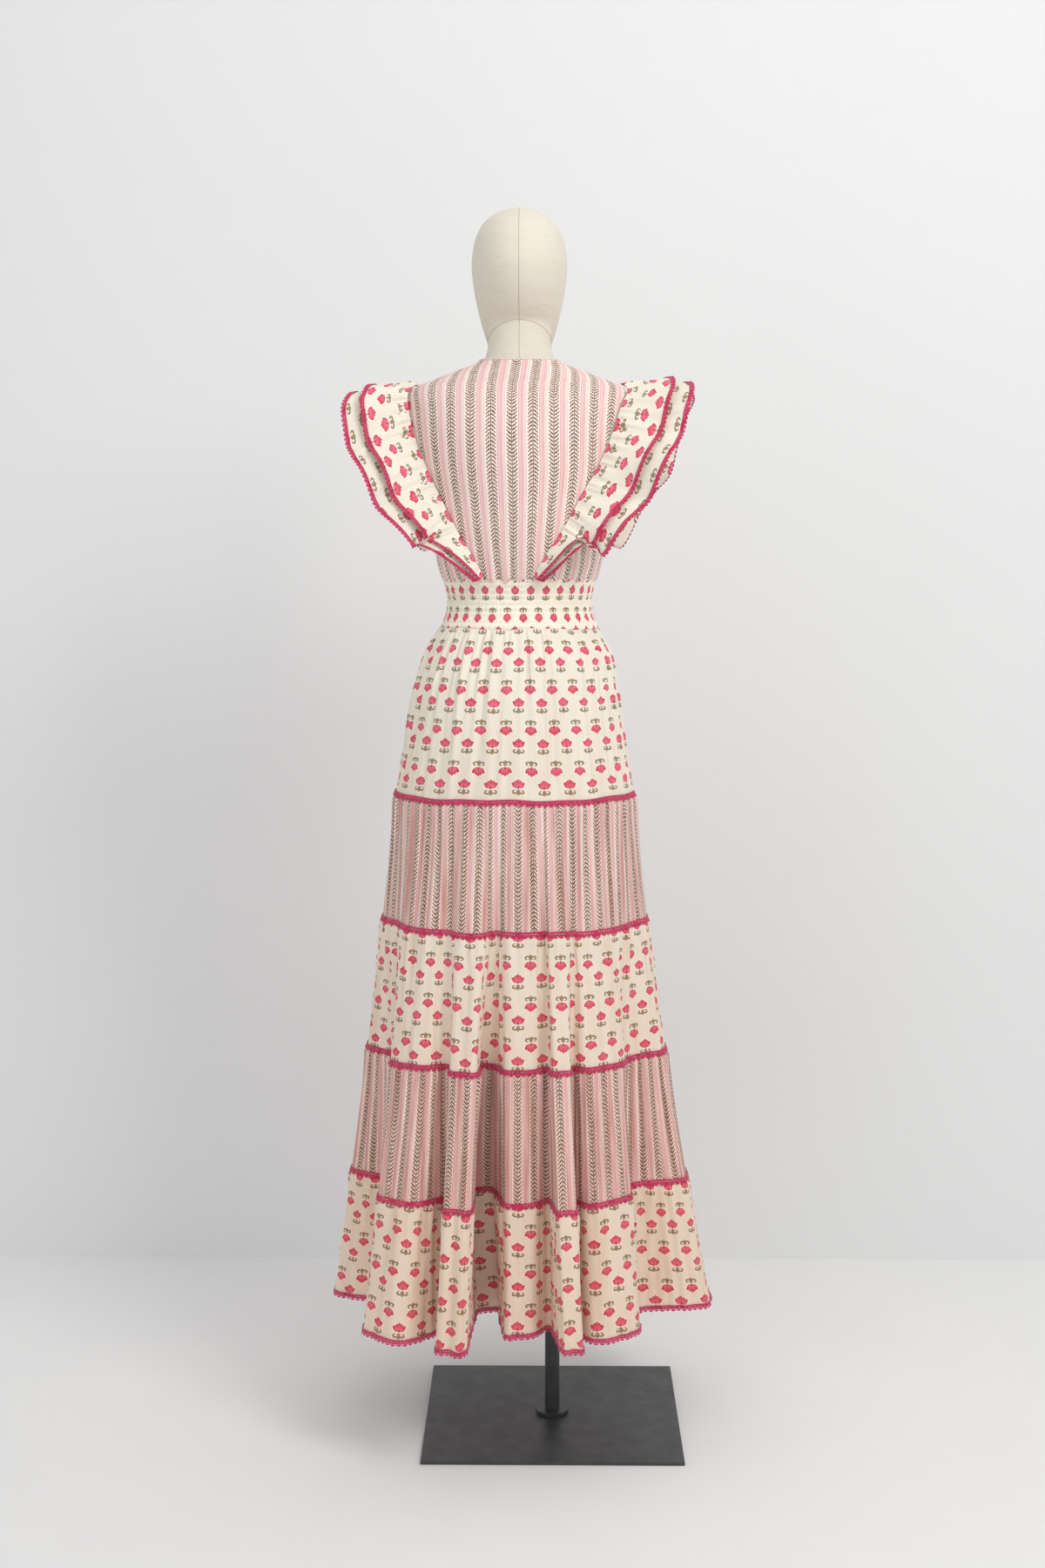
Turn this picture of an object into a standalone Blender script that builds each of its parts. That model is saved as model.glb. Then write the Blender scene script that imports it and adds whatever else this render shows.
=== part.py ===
"""Tiered maxi dress with double flutter sleeves on a limbless dress form with a square base.

Metres, +Z up. The origin is the centre of the base plate's underside. The back of the dress
faces -Y, and +X is the wearer's right. Angles run round the dress's own axis: 0 degrees is the
centre back (-Y), +90 is the wearer's right (+X), 180 is the centre front.
"""

import math

import bmesh
import bpy
from mathutils import Vector

# The dress form hangs off the pole's axis: its own axis stands to the wearer's left of the pole.
AXIS_X = -0.052

# Base, flange and pole
PLATE_SIDE = 0.400
PLATE_THICK = 0.005
PLATE_EDGE = 0.0008
FLANGE_R = 0.026
FLANGE_THICK = 0.005
POLE_R = 0.0116
FIT_GAP = 0.0003

# Heights of the seams
HEM_Z = 0.200
TIER_Z = (1.257, 1.003, 0.808, 0.605, 0.405, HEM_Z)
BAND_TOP_Z = 1.327
UNDERARM_Z = 1.478
SHOULDER_TIP_Z = 1.624
BACK_NECK_Z = 1.660
FRONT_NECK_TOP_Z = 1.655
V_NECK_Z = 1.475
V_NECK_HALF_WIDTH = 0.056

# Cloth
CLOTH = 0.0012
TRIM = 0.0008
SEAM_GAP = 0.0004
PANEL_GAP = 0.0006
TRIM_LIFT = 0.0004
TRIM_WIDTH = 0.010
HEM_TRIM_WIDTH = 0.009

# The form's sections: height, half width, depth to the back, depth to the front
FORM_SECTIONS = (
    (1.040, 0.138, 0.104, 0.096),
    (1.100, 0.144, 0.112, 0.103),
    (1.160, 0.139, 0.108, 0.101),
    (1.210, 0.125, 0.094, 0.094),
    (1.260, 0.112, 0.084, 0.090),
    (1.300, 0.1075, 0.0813, 0.0893),
    (1.340, 0.1090, 0.0825, 0.0925),
    (1.400, 0.119, 0.092, 0.108),
    (1.450, 0.130, 0.100, 0.124),
    (1.500, 0.146, 0.104, 0.120),
    (1.545, 0.159, 0.101, 0.104),
    (1.590, 0.1655, 0.088, 0.082),
    (1.608, 0.1660, 0.074, 0.064),
    (1.619, 0.1600, 0.064, 0.053),
    (1.627, 0.142, 0.059, 0.048),
    (1.636, 0.118, 0.057, 0.046),
    (1.645, 0.092, 0.053, 0.044),
    (1.655, 0.066, 0.050, 0.044),
    (1.668, 0.052, 0.047, 0.045),
    (1.690, 0.0475, 0.045, 0.046),
    (1.735, 0.0470, 0.044, 0.050),
)
FORM_COLUMNS = 28

# The head: height, half width, depth to the back, depth to the front
HEAD_SECTIONS = (
    (1.668, 0.034, -0.024, 0.070),
    (1.676, 0.0440, -0.016, 0.080),
    (1.692, 0.0497, 0.006, 0.088),
    (1.711, 0.0560, 0.032, 0.094),
    (1.743, 0.0643, 0.070, 0.099),
    (1.774, 0.0702, 0.090, 0.101),
    (1.805, 0.0728, 0.098, 0.099),
    (1.836, 0.0690, 0.093, 0.090),
    (1.862, 0.0580, 0.078, 0.073),
    (1.880, 0.0380, 0.051, 0.046),
    (1.888, 0.0160, 0.022, 0.019),
)
HEAD_COLUMNS = 28

# How far the bodice's outer face stands off the form: height, distance
BODICE_EASE = (
    (1.327, 0.0085),
    (1.340, 0.0130),
    (1.360, 0.0160),
    (1.400, 0.0145),
    (1.450, 0.0090),
    (1.500, 0.0060),
    (1.545, 0.0042),
    (1.590, 0.0030),
    (1.634, 0.0027),
    (1.645, 0.0036),
    (1.668, 0.0036),
)

LEVEL_BELOW_Z = 1.545
SQUARE_ABOVE_Z = 1.600

# The seam that carries the ruffles: height, then degrees from the centre back on the wearer's
# left and right, and degrees from the centre front
RUFFLE_SEAM = (
    (1.327, 25.0, 9.0, 17.0),
    (1.360, 32.0, 17.0, 24.0),
    (1.410, 46.0, 31.0, 38.0),
    (1.465, 60.0, 44.0, 52.0),
    (1.505, 67.0, 52.0, 60.0),
    (1.545, 73.0, 57.0, 66.0),
    (1.590, 79.0, 64.0, 71.0),
    (1.608, 82.0, 71.0, 76.0),
    (1.618, 85.0, 79.0, 82.0),
    (1.624, 89.0, 88.0, 89.0),
)

# The skirt above its first lace: height, then reach to the left, right, back and front
SKIRT_SECTIONS = (
    (1.257, 0.125, 0.120, 0.097, 0.102),
    (1.240, 0.134, 0.128, 0.107, 0.108),
    (1.210, 0.147, 0.142, 0.122, 0.116),
    (1.156, 0.164, 0.151, 0.138, 0.126),
    (1.102, 0.173, 0.160, 0.148, 0.134),
    (1.048, 0.183, 0.169, 0.156, 0.142),
    (1.003, 0.192, 0.177, 0.162, 0.149),
)
# The middle of the folds at the hem: reach to the left, right, back and front
HEM_MIDDLE = (0.268, 0.238, 0.240, 0.240)
FOLD_GROWTH = 1.6
HIP_SWING = 0.4
CREST_ROUNDING = 0.30

# The folds as they stand at the hem, round from the wearer's left side over the back: the
# crest's angle, radius and half width, then the angle and radius of the trough after it
FOLDS = (
    (-92.0, 0.293, 0.030, -68.0, 0.205),
    (-45.0, 0.300, 0.046, -30.0, 0.200),
    (-20.0, 0.296, 0.024, -11.5, 0.105),
    (0.5, 0.213, 0.023, 15.5, 0.181),
    (17.0, 0.285, 0.016, 23.8, 0.190),
    (37.0, 0.262, 0.044, 60.0, 0.200),
    (83.0, 0.302, 0.040, 98.0, 0.225),
    (112.0, 0.290, 0.033, 124.0, 0.190),
    (136.0, 0.285, 0.030, 147.0, 0.155),
    (158.0, 0.280, 0.033, 169.0, 0.180),
    (180.0, 0.288, 0.028, 191.0, 0.150),
    (202.0, 0.284, 0.034, 214.0, 0.175),
    (226.0, 0.288, 0.031, 237.0, 0.192),
    (248.0, 0.284, 0.026, 258.0, 0.225),
)
# Where a fold's columns stand, as shares of the way from its left shoulder to the next one's
FOLD_COLUMNS = (0.0, 0.25, 0.5, 0.62, 0.75, 0.88)
GATHER_PATTERN = (1.0, -0.7, -0.3)
GATHER_DEPTH = 0.0030
GATHER_AT_SEAM = 0.0006
GATHER_AT_END = 0.0010
PLEAT_DEPTH = 0.0042
PUFF_BELOW_SEAM = 0.0035
GATHER_PINCH = 0.006
GATHER_ROOM = 0.013

# The smocked waistband: height, half width, depth to the back, depth to the front
BAND_SECTIONS = (
    (1.257, 0.1215, 0.0950, 0.0995),
    (1.270, 0.1155, 0.0895, 0.0955),
    (1.285, 0.1112, 0.0850, 0.0925),
    (1.300, 0.1100, 0.0838, 0.0918),
    (1.315, 0.1125, 0.0860, 0.0945),
    (1.327, 0.1160, 0.0897, 0.0990),
)
BAND_THICK = 0.0014
BAND_PUFFS = 8
BAND_COLUMNS = 44
PUFF_RISE = 0.0010
PLEATLET_RISE = 0.0005

# The ruffles: share of the seam from back waist to front waist, width of the under layer, then
# how far its free edge reaches outwards, away from the centre line and up
RUFFLE_REACH = (
    (0.00, 0.022, 0.60, 0.55, -0.35),
    (0.06, 0.050, 0.78, 0.55, -0.27),
    (0.15, 0.088, 0.82, 0.50, -0.36),
    (0.31, 0.108, 0.84, 0.46, -0.24),
    (0.43, 0.107, 0.94, 0.26, -0.10),
    (0.50, 0.099, 1.00, 0.00, 0.00),
    (0.57, 0.107, 0.94, -0.26, -0.10),
    (0.69, 0.108, 0.84, -0.46, -0.24),
    (0.85, 0.088, 0.82, -0.50, -0.36),
    (0.94, 0.050, 0.78, -0.55, -0.27),
    (1.00, 0.022, 0.60, -0.55, -0.35),
)
RUFFLE_FOOT_Z = 1.335
UPPER_SHARE = 0.73
RUFFLE_WAVES = 7
WAVE_DRIFT = 0.02
SEAM_STEPS = 40
RUFFLE_WAVE = 0.010
RUFFLE_LIFT = 0.0015
ROOT_CLEARANCE = 0.0025
LAYER_LIFT = 0.0015
LAYER_SPREAD = 0.008
# How much further up, or down, each side's ruffle reaches at the shoulder
SHOULDER_LIFT = {"left": -0.16, "right": 0.03}
RUFFLE_COLUMNS = 35
RUFFLE_ROWS = (0.0, 0.45, 1.0)
RUFFLE_CLOTH = 0.0010
RUFFLE_TRIM_WIDTH = 0.008

SIDES = {"left": -1.0, "right": 1.0}


def row_at(table, height):
    """A table's values at a height, on a smooth curve through its rows."""
    rows = sorted(table)
    if height <= rows[0][0]:
        return rows[0][1:]
    if height >= rows[-1][0]:
        return rows[-1][1:]
    k = max(i for i in range(len(rows) - 1) if rows[i][0] <= height)
    span = rows[k + 1][0] - rows[k][0]
    t = (height - rows[k][0]) / span
    found = []
    for column in range(1, len(rows[0])):
        low, high = rows[k][column], rows[k + 1][column]
        slope_low = slope_of(rows, k, column) * span
        slope_high = slope_of(rows, k + 1, column) * span
        found.append(
            (2 * t**3 - 3 * t**2 + 1) * low
            + (t**3 - 2 * t**2 + t) * slope_low
            + (3 * t**2 - 2 * t**3) * high
            + (t**3 - t**2) * slope_high
        )
    return tuple(found)


def slope_of(rows, k, column):
    """The slope at a row, zero where the values turn, so that the curve never overshoots."""
    if k == 0 or k == len(rows) - 1:
        near = 1 if k == 0 else k
        return (rows[near][column] - rows[near - 1][column]) / (rows[near][0] - rows[near - 1][0])
    before = (rows[k][column] - rows[k - 1][column]) / (rows[k][0] - rows[k - 1][0])
    after = (rows[k + 1][column] - rows[k][column]) / (rows[k + 1][0] - rows[k][0])
    if before * after <= 0:
        return 0.0
    return 2 * before * after / (before + after)


def oval_point(degrees, height, left, right, back, front):
    """A point of an oval section made of four quarter ellipses round the dress's axis."""
    a = math.radians(degrees)
    across = right if math.sin(a) > 0 else left
    deep = back if math.cos(a) > 0 else front
    return Vector((AXIS_X + across * math.sin(a), -deep * math.cos(a), height))


def form_point(degrees, height):
    half, back, front = row_at(FORM_SECTIONS, height)
    return oval_point(degrees, height, half, half, back, front)


def normal_of(surface, degrees, height):
    """The outward normal of a surface given by angle and height."""
    step_deg, step_z = 0.5, 0.0005
    along = surface(degrees + step_deg, height) - surface(degrees - step_deg, height)
    upward = surface(degrees, height + step_z) - surface(degrees, height - step_z)
    return along.cross(upward).normalized()


def bodice_point(degrees, height, lift=0.0):
    """A point of the bodice's outer face, moved out by lift: level below the shoulders, and
    square to the form's face on them."""
    (ease,) = row_at(BODICE_EASE, height)
    out = normal_of(form_point, degrees, height)
    out.z *= max(0.0, min(1.0, (height - LEVEL_BELOW_Z) / (SQUARE_ABOVE_Z - LEVEL_BELOW_Z)))
    return form_point(degrees, height) + out.normalized() * (ease + lift)


def seam_degrees(side, height, front=False):
    """The signed angle of a side's ruffle seam at a height, on the back or the front."""
    left, right, from_front = row_at(RUFFLE_SEAM, height)
    if front:
        return SIDES[side] * (180.0 - from_front)
    return SIDES[side] * (left if side == "left" else right)


def clear_scene():
    for thing in list(bpy.data.objects):
        bpy.data.objects.remove(thing)


def make_material(name, colour, roughness, metallic=0.0):
    made = bpy.data.materials.new(name)
    made.use_nodes = True
    shader = made.node_tree.nodes["Principled BSDF"]
    shader.inputs["Base Color"].default_value = (*colour, 1.0)
    shader.inputs["Roughness"].default_value = roughness
    shader.inputs["Metallic"].default_value = metallic
    return made


def add_object(name, mesh, material):
    made = bpy.data.objects.new(name, mesh)
    made.data.materials.append(material)
    bpy.data.collections["tiered_dress"].objects.link(made)
    return made


def lofted_mesh(name, rows, ring, caps=False):
    """A mesh through rows of points. Each row is a closed ring, or an open line."""
    mesh = bmesh.new()
    lines = [[mesh.verts.new(point) for point in row] for row in rows]
    count = len(rows[0])
    for lower, upper in zip(lines, lines[1:]):
        for i in range(count if ring else count - 1):
            j = (i + 1) % count
            mesh.faces.new((lower[i], lower[j], upper[j]))
            mesh.faces.new((lower[i], upper[j], upper[i]))
    if caps:
        mesh.faces.new(list(reversed(lines[0])))
        mesh.faces.new(lines[-1])
    made = bpy.data.meshes.new(name)
    mesh.to_mesh(made)
    mesh.free()
    for face in made.polygons:
        face.use_smooth = True
    return made


def cloth_wall(name, rows, ring, thickness, material):
    """A wall of cloth: an open loft, its outer face where the rows are, thickened inwards."""
    made = add_object(name, lofted_mesh(name, rows, ring), material)
    wall = made.modifiers.new("wall", "SOLIDIFY")
    wall.thickness = thickness
    wall.offset = -1.0
    return made


def spread(low, high, count):
    return [low + (high - low) * i / (count - 1) for i in range(count)]


def fold_controls():
    """The plan points of every fold at the hem: its left shoulder, crest, right shoulder and
    the trough after it."""
    points = []
    for crest, radius, half, trough, trough_radius in FOLDS:
        drop = CREST_ROUNDING * half
        for degrees, reach, aside in (
            (crest, radius - drop, -half),
            (crest, radius, 0.0),
            (crest, radius - drop, half),
            (trough, trough_radius, 0.0),
        ):
            a = math.radians(degrees)
            outward = Vector((math.sin(a), -math.cos(a)))
            sideways = Vector((math.cos(a), math.sin(a)))
            points.append(outward * reach + sideways * aside)
    return points


def smooth_hem(place):
    """A plan point of the hem's folds, on a smooth closed curve. Place counts folds."""
    ring = fold_controls()
    at = (place * 4.0) % len(ring)
    k = int(at)
    t = at - k
    a, b, c, d = (ring[(k + step) % len(ring)] for step in (-1, 0, 1, 2))
    return 0.5 * (
        2 * b + (c - a) * t + (2 * a - 5 * b + 4 * c - d) * t**2 + (3 * b - a - 3 * c + d) * t**3
    )


def even_degrees(place):
    """The angle of a place if the cloth lay evenly between the folds' crests."""
    at = (place - 0.25) % len(FOLDS)
    k = int(at)
    this_one = FOLDS[k][0]
    next_one = FOLDS[(k + 1) % len(FOLDS)][0]
    return this_one + (at - k) * ((next_one - this_one) % 360.0)


def skirt_plan(place, share_down):
    """A plan point of the skirt, where share_down is 0 at the hip lace and 1 at the hem. The
    folds grow faster than the skirt widens."""
    at_hem = smooth_hem(place)
    degrees = math.degrees(math.atan2(at_hem.x, -at_hem.y))
    even = even_degrees(place)
    swing = (degrees - even + 180.0) % 360.0 - 180.0
    hip = oval_point(even + HIP_SWING * swing, 0.0, *SKIRT_SECTIONS[-1][1:])
    middle = oval_point(degrees, 0.0, *HEM_MIDDLE)
    at_hip = Vector((hip.x - AXIS_X, hip.y))
    between = Vector((middle.x - AXIS_X, middle.y))
    return at_hip.lerp(between, share_down) + (at_hem - between) * share_down**FOLD_GROWTH


def skirt_point(place, height):
    """A point of the skirt's outer face before its gathers."""
    hip_z = SKIRT_SECTIONS[-1][0]
    if height <= hip_z:
        plan = skirt_plan(place, (hip_z - height) / (hip_z - HEM_Z))
        return Vector((AXIS_X + plan.x, plan.y, height))
    plan = skirt_plan(place, 0.0)
    degrees = math.degrees(math.atan2(plan.x / SKIRT_SECTIONS[-1][1], -plan.y / SKIRT_SECTIONS[-1][3]))
    return oval_point(degrees, height, *row_at(SKIRT_SECTIONS, height))


def skirt_normal(place, height):
    step = 0.02
    along = skirt_point(place + step, height) - skirt_point(place - step, height)
    return Vector((along.y, -along.x, 0.0)).normalized()


def below_seam(drop, tall, at_seam, deepest, at_end):
    """A measure that grows from a tier's seam to its lace's lower edge, then fades down."""
    if drop < TRIM_WIDTH:
        return at_seam + (deepest - at_seam) * max(0.0, drop) / TRIM_WIDTH
    return deepest + (at_end - deepest) * (drop - TRIM_WIDTH) / (tall - TRIM_WIDTH)


def skirt_places():
    return [index + share for index in range(len(FOLDS)) for share in FOLD_COLUMNS]


def moved_out(ring, lift):
    """A level ring moved out square to its own sides."""
    moved = []
    for k, point in enumerate(ring):
        before = (point - ring[k - 1]).normalized()
        after = (ring[(k + 1) % len(ring)] - point).normalized()
        along = (before + after).normalized()
        reach = lift / max(0.6, along.dot(after))
        moved.append(point + Vector((along.y, -along.x, 0.0)) * reach)
    return moved


def tier_ring(tier, height, lift=0.0):
    """A ring of a tier's outer face, with its gathers, moved out by lift."""
    top, bottom = TIER_Z[tier], TIER_Z[tier + 1]
    deepest = PLEAT_DEPTH if tier == 0 else GATHER_DEPTH
    drop, tall = top - height, top - bottom
    depth = below_seam(drop, tall, GATHER_AT_SEAM, deepest, GATHER_AT_END)
    puff = below_seam(drop, tall, 0.0, PUFF_BELOW_SEAM if tier else 0.0, 0.0)
    places = skirt_places()
    smooth = [skirt_point(place, height) for place in places]
    ring = []
    for k, place in enumerate(places):
        before = (smooth[k] - smooth[k - 1]).length
        after = (smooth[(k + 1) % len(smooth)] - smooth[k]).length
        room = (min(before, after) - GATHER_PINCH) / (GATHER_ROOM - GATHER_PINCH)
        room = max(0.0, min(1.0, room))
        out = GATHER_PATTERN[k % len(GATHER_PATTERN)] * depth * room + puff
        ring.append(smooth[k] + skirt_normal(place, height) * out)
    return moved_out(ring, lift) if lift else ring


def build_skirt(prints, lace):
    for tier in range(5):
        top = TIER_Z[tier] - SEAM_GAP
        bottom = TIER_Z[tier + 1] if tier < 4 else HEM_Z + HEM_TRIM_WIDTH
        full = TIER_Z[tier] - TRIM_WIDTH
        rows = [tier_ring(tier, z) for z in (bottom, full, top)]
        cloth_wall(f"skirt_tier_{tier + 1}", rows, True, CLOTH, prints[tier % 2])
        if tier:
            rows = [tier_ring(tier, z, TRIM_LIFT + TRIM) for z in (full, top)]
            cloth_wall(f"lace_seam_{tier}", rows, True, TRIM, lace)
    rows = [tier_ring(4, z) for z in (HEM_Z, HEM_Z + HEM_TRIM_WIDTH - SEAM_GAP)]
    cloth_wall("lace_hem", rows, True, TRIM, lace)


def build_waistband(material):
    """The smocked band: puffs between elastic rows, crossed by fine pleats, on a plain inside."""
    levels = 2 * BAND_PUFFS + 1
    outside = []
    for level, z in enumerate(spread(TIER_Z[0], BAND_TOP_Z - SEAM_GAP, levels)):
        half, back, front = row_at(BAND_SECTIONS, z)
        puff = PUFF_RISE if level % 2 else 0.0
        ring = []
        for k in range(BAND_COLUMNS):
            degrees = 360.0 * k / BAND_COLUMNS
            rise = puff + (PLEATLET_RISE if (k + level // 2) % 2 else 0.0)
            ring.append(oval_point(degrees, z, half + rise, half + rise, back + rise, front + rise))
        outside.append(ring)
    inside = []
    for z in (BAND_TOP_Z - SEAM_GAP, BAND_SECTIONS[3][0], BAND_SECTIONS[1][0], TIER_Z[0]):
        sizes = [size - BAND_THICK for size in row_at(BAND_SECTIONS, z)]
        half, back, front = sizes
        degrees = [360.0 * k / BAND_COLUMNS for k in range(BAND_COLUMNS)]
        inside.append([oval_point(d, z, half, half, back, front) for d in degrees])
    rows = outside + inside
    mesh = lofted_mesh("waistband", rows + [rows[0]], True)
    shaped = bmesh.new()
    shaped.from_mesh(mesh)
    bmesh.ops.remove_doubles(shaped, verts=shaped.verts, dist=1e-6)
    shaped.to_mesh(mesh)
    shaped.free()
    add_object("waistband", mesh, material)


def edge_degrees(degrees, height, inwards):
    """The angle of a panel's edge: half the seam's gap from the seam at that angle."""
    per_degree = (bodice_point(degrees + 1.0, height) - bodice_point(degrees, height)).length
    return degrees + inwards * PANEL_GAP / 2.0 / per_degree


def panel_levels(top):
    """The heights of a bodice panel's rows: those of the form's sections and one below them."""
    foot = BAND_TOP_Z
    between = [row[0] for row in FORM_SECTIONS if foot < row[0] < top - 0.002]
    return sorted([foot, 1.370, top] + between)


def build_bodice(material):
    """Back, two fronts and two side panels, each clear of the next by the seam gap."""
    rows = []
    for z in panel_levels(BACK_NECK_Z):
        low = z < SHOULDER_TIP_Z
        left = edge_degrees(seam_degrees("left", z) if low else -90.0, z, 1.0)
        right = edge_degrees(seam_degrees("right", z) if low else 90.0, z, -1.0)
        rows.append([bodice_point(d, z) for d in spread(left, right, 15)])
    cloth_wall("bodice_back", rows, False, CLOTH, material)
    for side, sign in SIDES.items():
        rows = []
        for z in panel_levels(UNDERARM_Z):
            back = edge_degrees(abs(seam_degrees(side, z)), z, 1.0)
            front = edge_degrees(abs(seam_degrees(side, z, front=True)), z, -1.0)
            line = [bodice_point(sign * d, z) for d in spread(back, front, 10)]
            rows.append(line if sign > 0 else line[::-1])
        cloth_wall(f"bodice_side_{side}", rows, False, CLOTH, material)
        rows = []
        for z in panel_levels(FRONT_NECK_TOP_Z):
            low = z < SHOULDER_TIP_Z
            outer = edge_degrees(abs(seam_degrees(side, z, front=True)) if low else 90.0, z, 1.0)
            inner = edge_degrees(front_edge(z), z, -1.0)
            line = [bodice_point(sign * d, z) for d in spread(outer, inner, 8)]
            rows.append(line if sign > 0 else line[::-1])
        cloth_wall(f"bodice_front_{side}", rows, False, CLOTH, material)


def front_edge(height):
    """The angle of a front's inner edge: the centre front, then the V neckline."""
    if height <= V_NECK_Z:
        return 180.0
    share = (height - V_NECK_Z) / (FRONT_NECK_TOP_Z - V_NECK_Z)
    half = row_at(FORM_SECTIONS, height)[0]
    return 180.0 - math.degrees(math.asin(min(0.98, V_NECK_HALF_WIDTH * share / half)))


def seam_line(side):
    """A ruffle's seam as a fine line, from the back waist over the shoulder to the front."""
    line = []
    for k in range(-SEAM_STEPS, SEAM_STEPS + 1):
        climb = 1.0 - abs(k) / SEAM_STEPS
        z = RUFFLE_FOOT_Z + (SHOULDER_TIP_Z - RUFFLE_FOOT_Z) * math.sin(climb * math.pi / 2)
        line.append(bodice_point(seam_degrees(side, z, front=k > 0), z, RUFFLE_LIFT))
    return line


def seam_point(line, share):
    """The point at a share of a seam line's length."""
    steps = [(b - a).length for a, b in zip(line, line[1:])]
    left = share * sum(steps)
    for step, a, b in zip(steps, line, line[1:]):
        if left <= step:
            return a.lerp(b, left / step)
        left -= step
    return line[-1].copy()


def ruffle_frame(side, line, share):
    """The ruffle's root and width there, its direction out from the seam, and its face."""
    width, out, away, up = row_at(RUFFLE_REACH, share)
    up += SHOULDER_LIFT[side] * math.sin(math.pi * share) ** 4
    direction = Vector((SIDES[side] * out, -away, up)).normalized()
    step = 0.03
    along = seam_point(line, min(1.0, share + step)) - seam_point(line, max(0.0, share - step))
    face = direction.cross(along) * SIDES[side]
    return seam_point(line, share), width, direction, face.normalized()


def ruffle_line(frames, layer, trim_down, lace_down):
    """A line along a ruffle. Trim_down is 0 at the seam and 1 where the lace starts, and
    lace_down is 0 there and 1 at the free edge. Layer 1 lies on layer 0 and is shorter."""
    points = []
    for share, (root, width, direction, face) in frames:
        reach = width * (UPPER_SHARE if layer else 1.0)
        trim = 1.0 - RUFFLE_TRIM_WIDTH / reach
        down = trim_down * trim + lace_down * (1.0 - trim)
        ends = math.sin(math.pi * share) ** 0.5
        turn = 2.0 * math.pi * RUFFLE_WAVES * (share + WAVE_DRIFT * math.sin(5.0 * share))
        wave = RUFFLE_WAVE * ends * down**1.2 * math.sin(turn)
        stand = layer * (LAYER_LIFT + LAYER_SPREAD * down * ends) + wave
        clear = ROOT_CLEARANCE * math.sin(math.pi * share) ** 4
        points.append(root + direction * (clear + reach * down) + face * stand)
    return points


def build_ruffles(floral, lace):
    shares = spread(0.0, 1.0, RUFFLE_COLUMNS + 1)
    for side, sign in SIDES.items():
        line = seam_line(side)
        frames = [(share, ruffle_frame(side, line, share)) for share in shares]
        for layer, name in enumerate(("under", "upper")):
            cloth = [ruffle_line(frames, layer, q, 0.0) for q in RUFFLE_ROWS]
            gap = SEAM_GAP / RUFFLE_TRIM_WIDTH
            trim = [ruffle_line(frames, layer, 1.0, q) for q in (gap, 1.0)]
            if sign > 0:
                cloth, trim = cloth[::-1], trim[::-1]
            cloth_wall(f"ruffle_{name}_{side}", cloth, False, RUFFLE_CLOTH, floral)
            cloth_wall(f"lace_ruffle_{name}_{side}", trim, False, TRIM, lace)


def build_form(linen):
    """Torso and neck, with the egg-shaped head joined to the neck's top."""
    angles = [360.0 * k / FORM_COLUMNS for k in range(FORM_COLUMNS)]
    rows = [[form_point(d, section[0]) for d in angles] for section in FORM_SECTIONS]
    torso = add_object("form_body", lofted_mesh("form_body", rows, True, caps=True), linen)
    angles = [360.0 * k / HEAD_COLUMNS for k in range(HEAD_COLUMNS)]
    rows = []
    for z, half, back, front in HEAD_SECTIONS:
        middle = (front - back) / 2
        deep = (front + back) / 2
        ring = [oval_point(d, z, half, half, deep, deep) + Vector((0, middle, 0)) for d in angles]
        rows.append(ring)
    head = bpy.data.objects.new("head_block", lofted_mesh("head_block", rows, True, caps=True))
    head.hide_render = True
    head.display_type = "WIRE"
    bpy.data.collections["cutters"].objects.link(head)
    join = torso.modifiers.new("head", "BOOLEAN")
    join.operation = "UNION"
    join.object = head


def build_stand(steel):
    bpy.ops.mesh.primitive_cube_add(size=1.0, location=(0, 0, PLATE_THICK / 2))
    plate = bpy.context.object
    plate.scale = (PLATE_SIDE, PLATE_SIDE, PLATE_THICK)
    bpy.ops.object.transform_apply(location=False, rotation=False, scale=True)
    adopt(plate, "base_plate", steel)
    soften = plate.modifiers.new("edge", "BEVEL")
    soften.width = PLATE_EDGE
    soften.segments = 2
    flange_foot = PLATE_THICK + FIT_GAP
    flange_top = flange_foot + FLANGE_THICK
    bpy.ops.mesh.primitive_cylinder_add(
        vertices=32, radius=FLANGE_R, depth=FLANGE_THICK,
        location=(0, 0, flange_foot + FLANGE_THICK / 2),
    )
    adopt(bpy.context.object, "pole_flange", steel)
    pole_foot = flange_top + FIT_GAP
    pole_top = FORM_SECTIONS[0][0] - FIT_GAP
    bpy.ops.mesh.primitive_cylinder_add(
        vertices=24, radius=POLE_R, depth=pole_top - pole_foot,
        location=(0, 0, (pole_foot + pole_top) / 2),
    )
    adopt(bpy.context.object, "pole", steel)


def adopt(made, name, material):
    """Names a primitive, gives it its material and moves it to the dress's collection."""
    made.name = name
    made.data.name = name
    made.data.materials.append(material)
    for collection in list(made.users_collection):
        collection.objects.unlink(made)
    bpy.data.collections["tiered_dress"].objects.link(made)


def main():
    clear_scene()
    for name in ("tiered_dress", "cutters"):
        collection = bpy.data.collections.new(name)
        bpy.context.scene.collection.children.link(collection)
    floral = make_material("cream_floral_cotton", (0.86, 0.76, 0.62), 0.85)
    stripe = make_material("pink_vine_stripe_cotton", (0.72, 0.47, 0.43), 0.85)
    lace = make_material("pink_crochet_lace", (0.62, 0.05, 0.16), 0.80)
    linen = make_material("natural_linen", (0.78, 0.72, 0.61), 0.90)
    steel = make_material("black_steel", (0.025, 0.025, 0.028), 0.38, metallic=0.3)
    build_stand(steel)
    build_form(linen)
    build_bodice(stripe)
    build_waistband(floral)
    build_skirt((floral, stripe), lace)
    build_ruffles(floral, lace)


main()
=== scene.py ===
"""Looks of the tiered dress on its limbless form: prints, gathers, smocking, crochet trim, linen
and a studio like the photograph's.
"""

import math

import bpy
import numpy as np
from mathutils import Matrix, Vector


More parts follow.
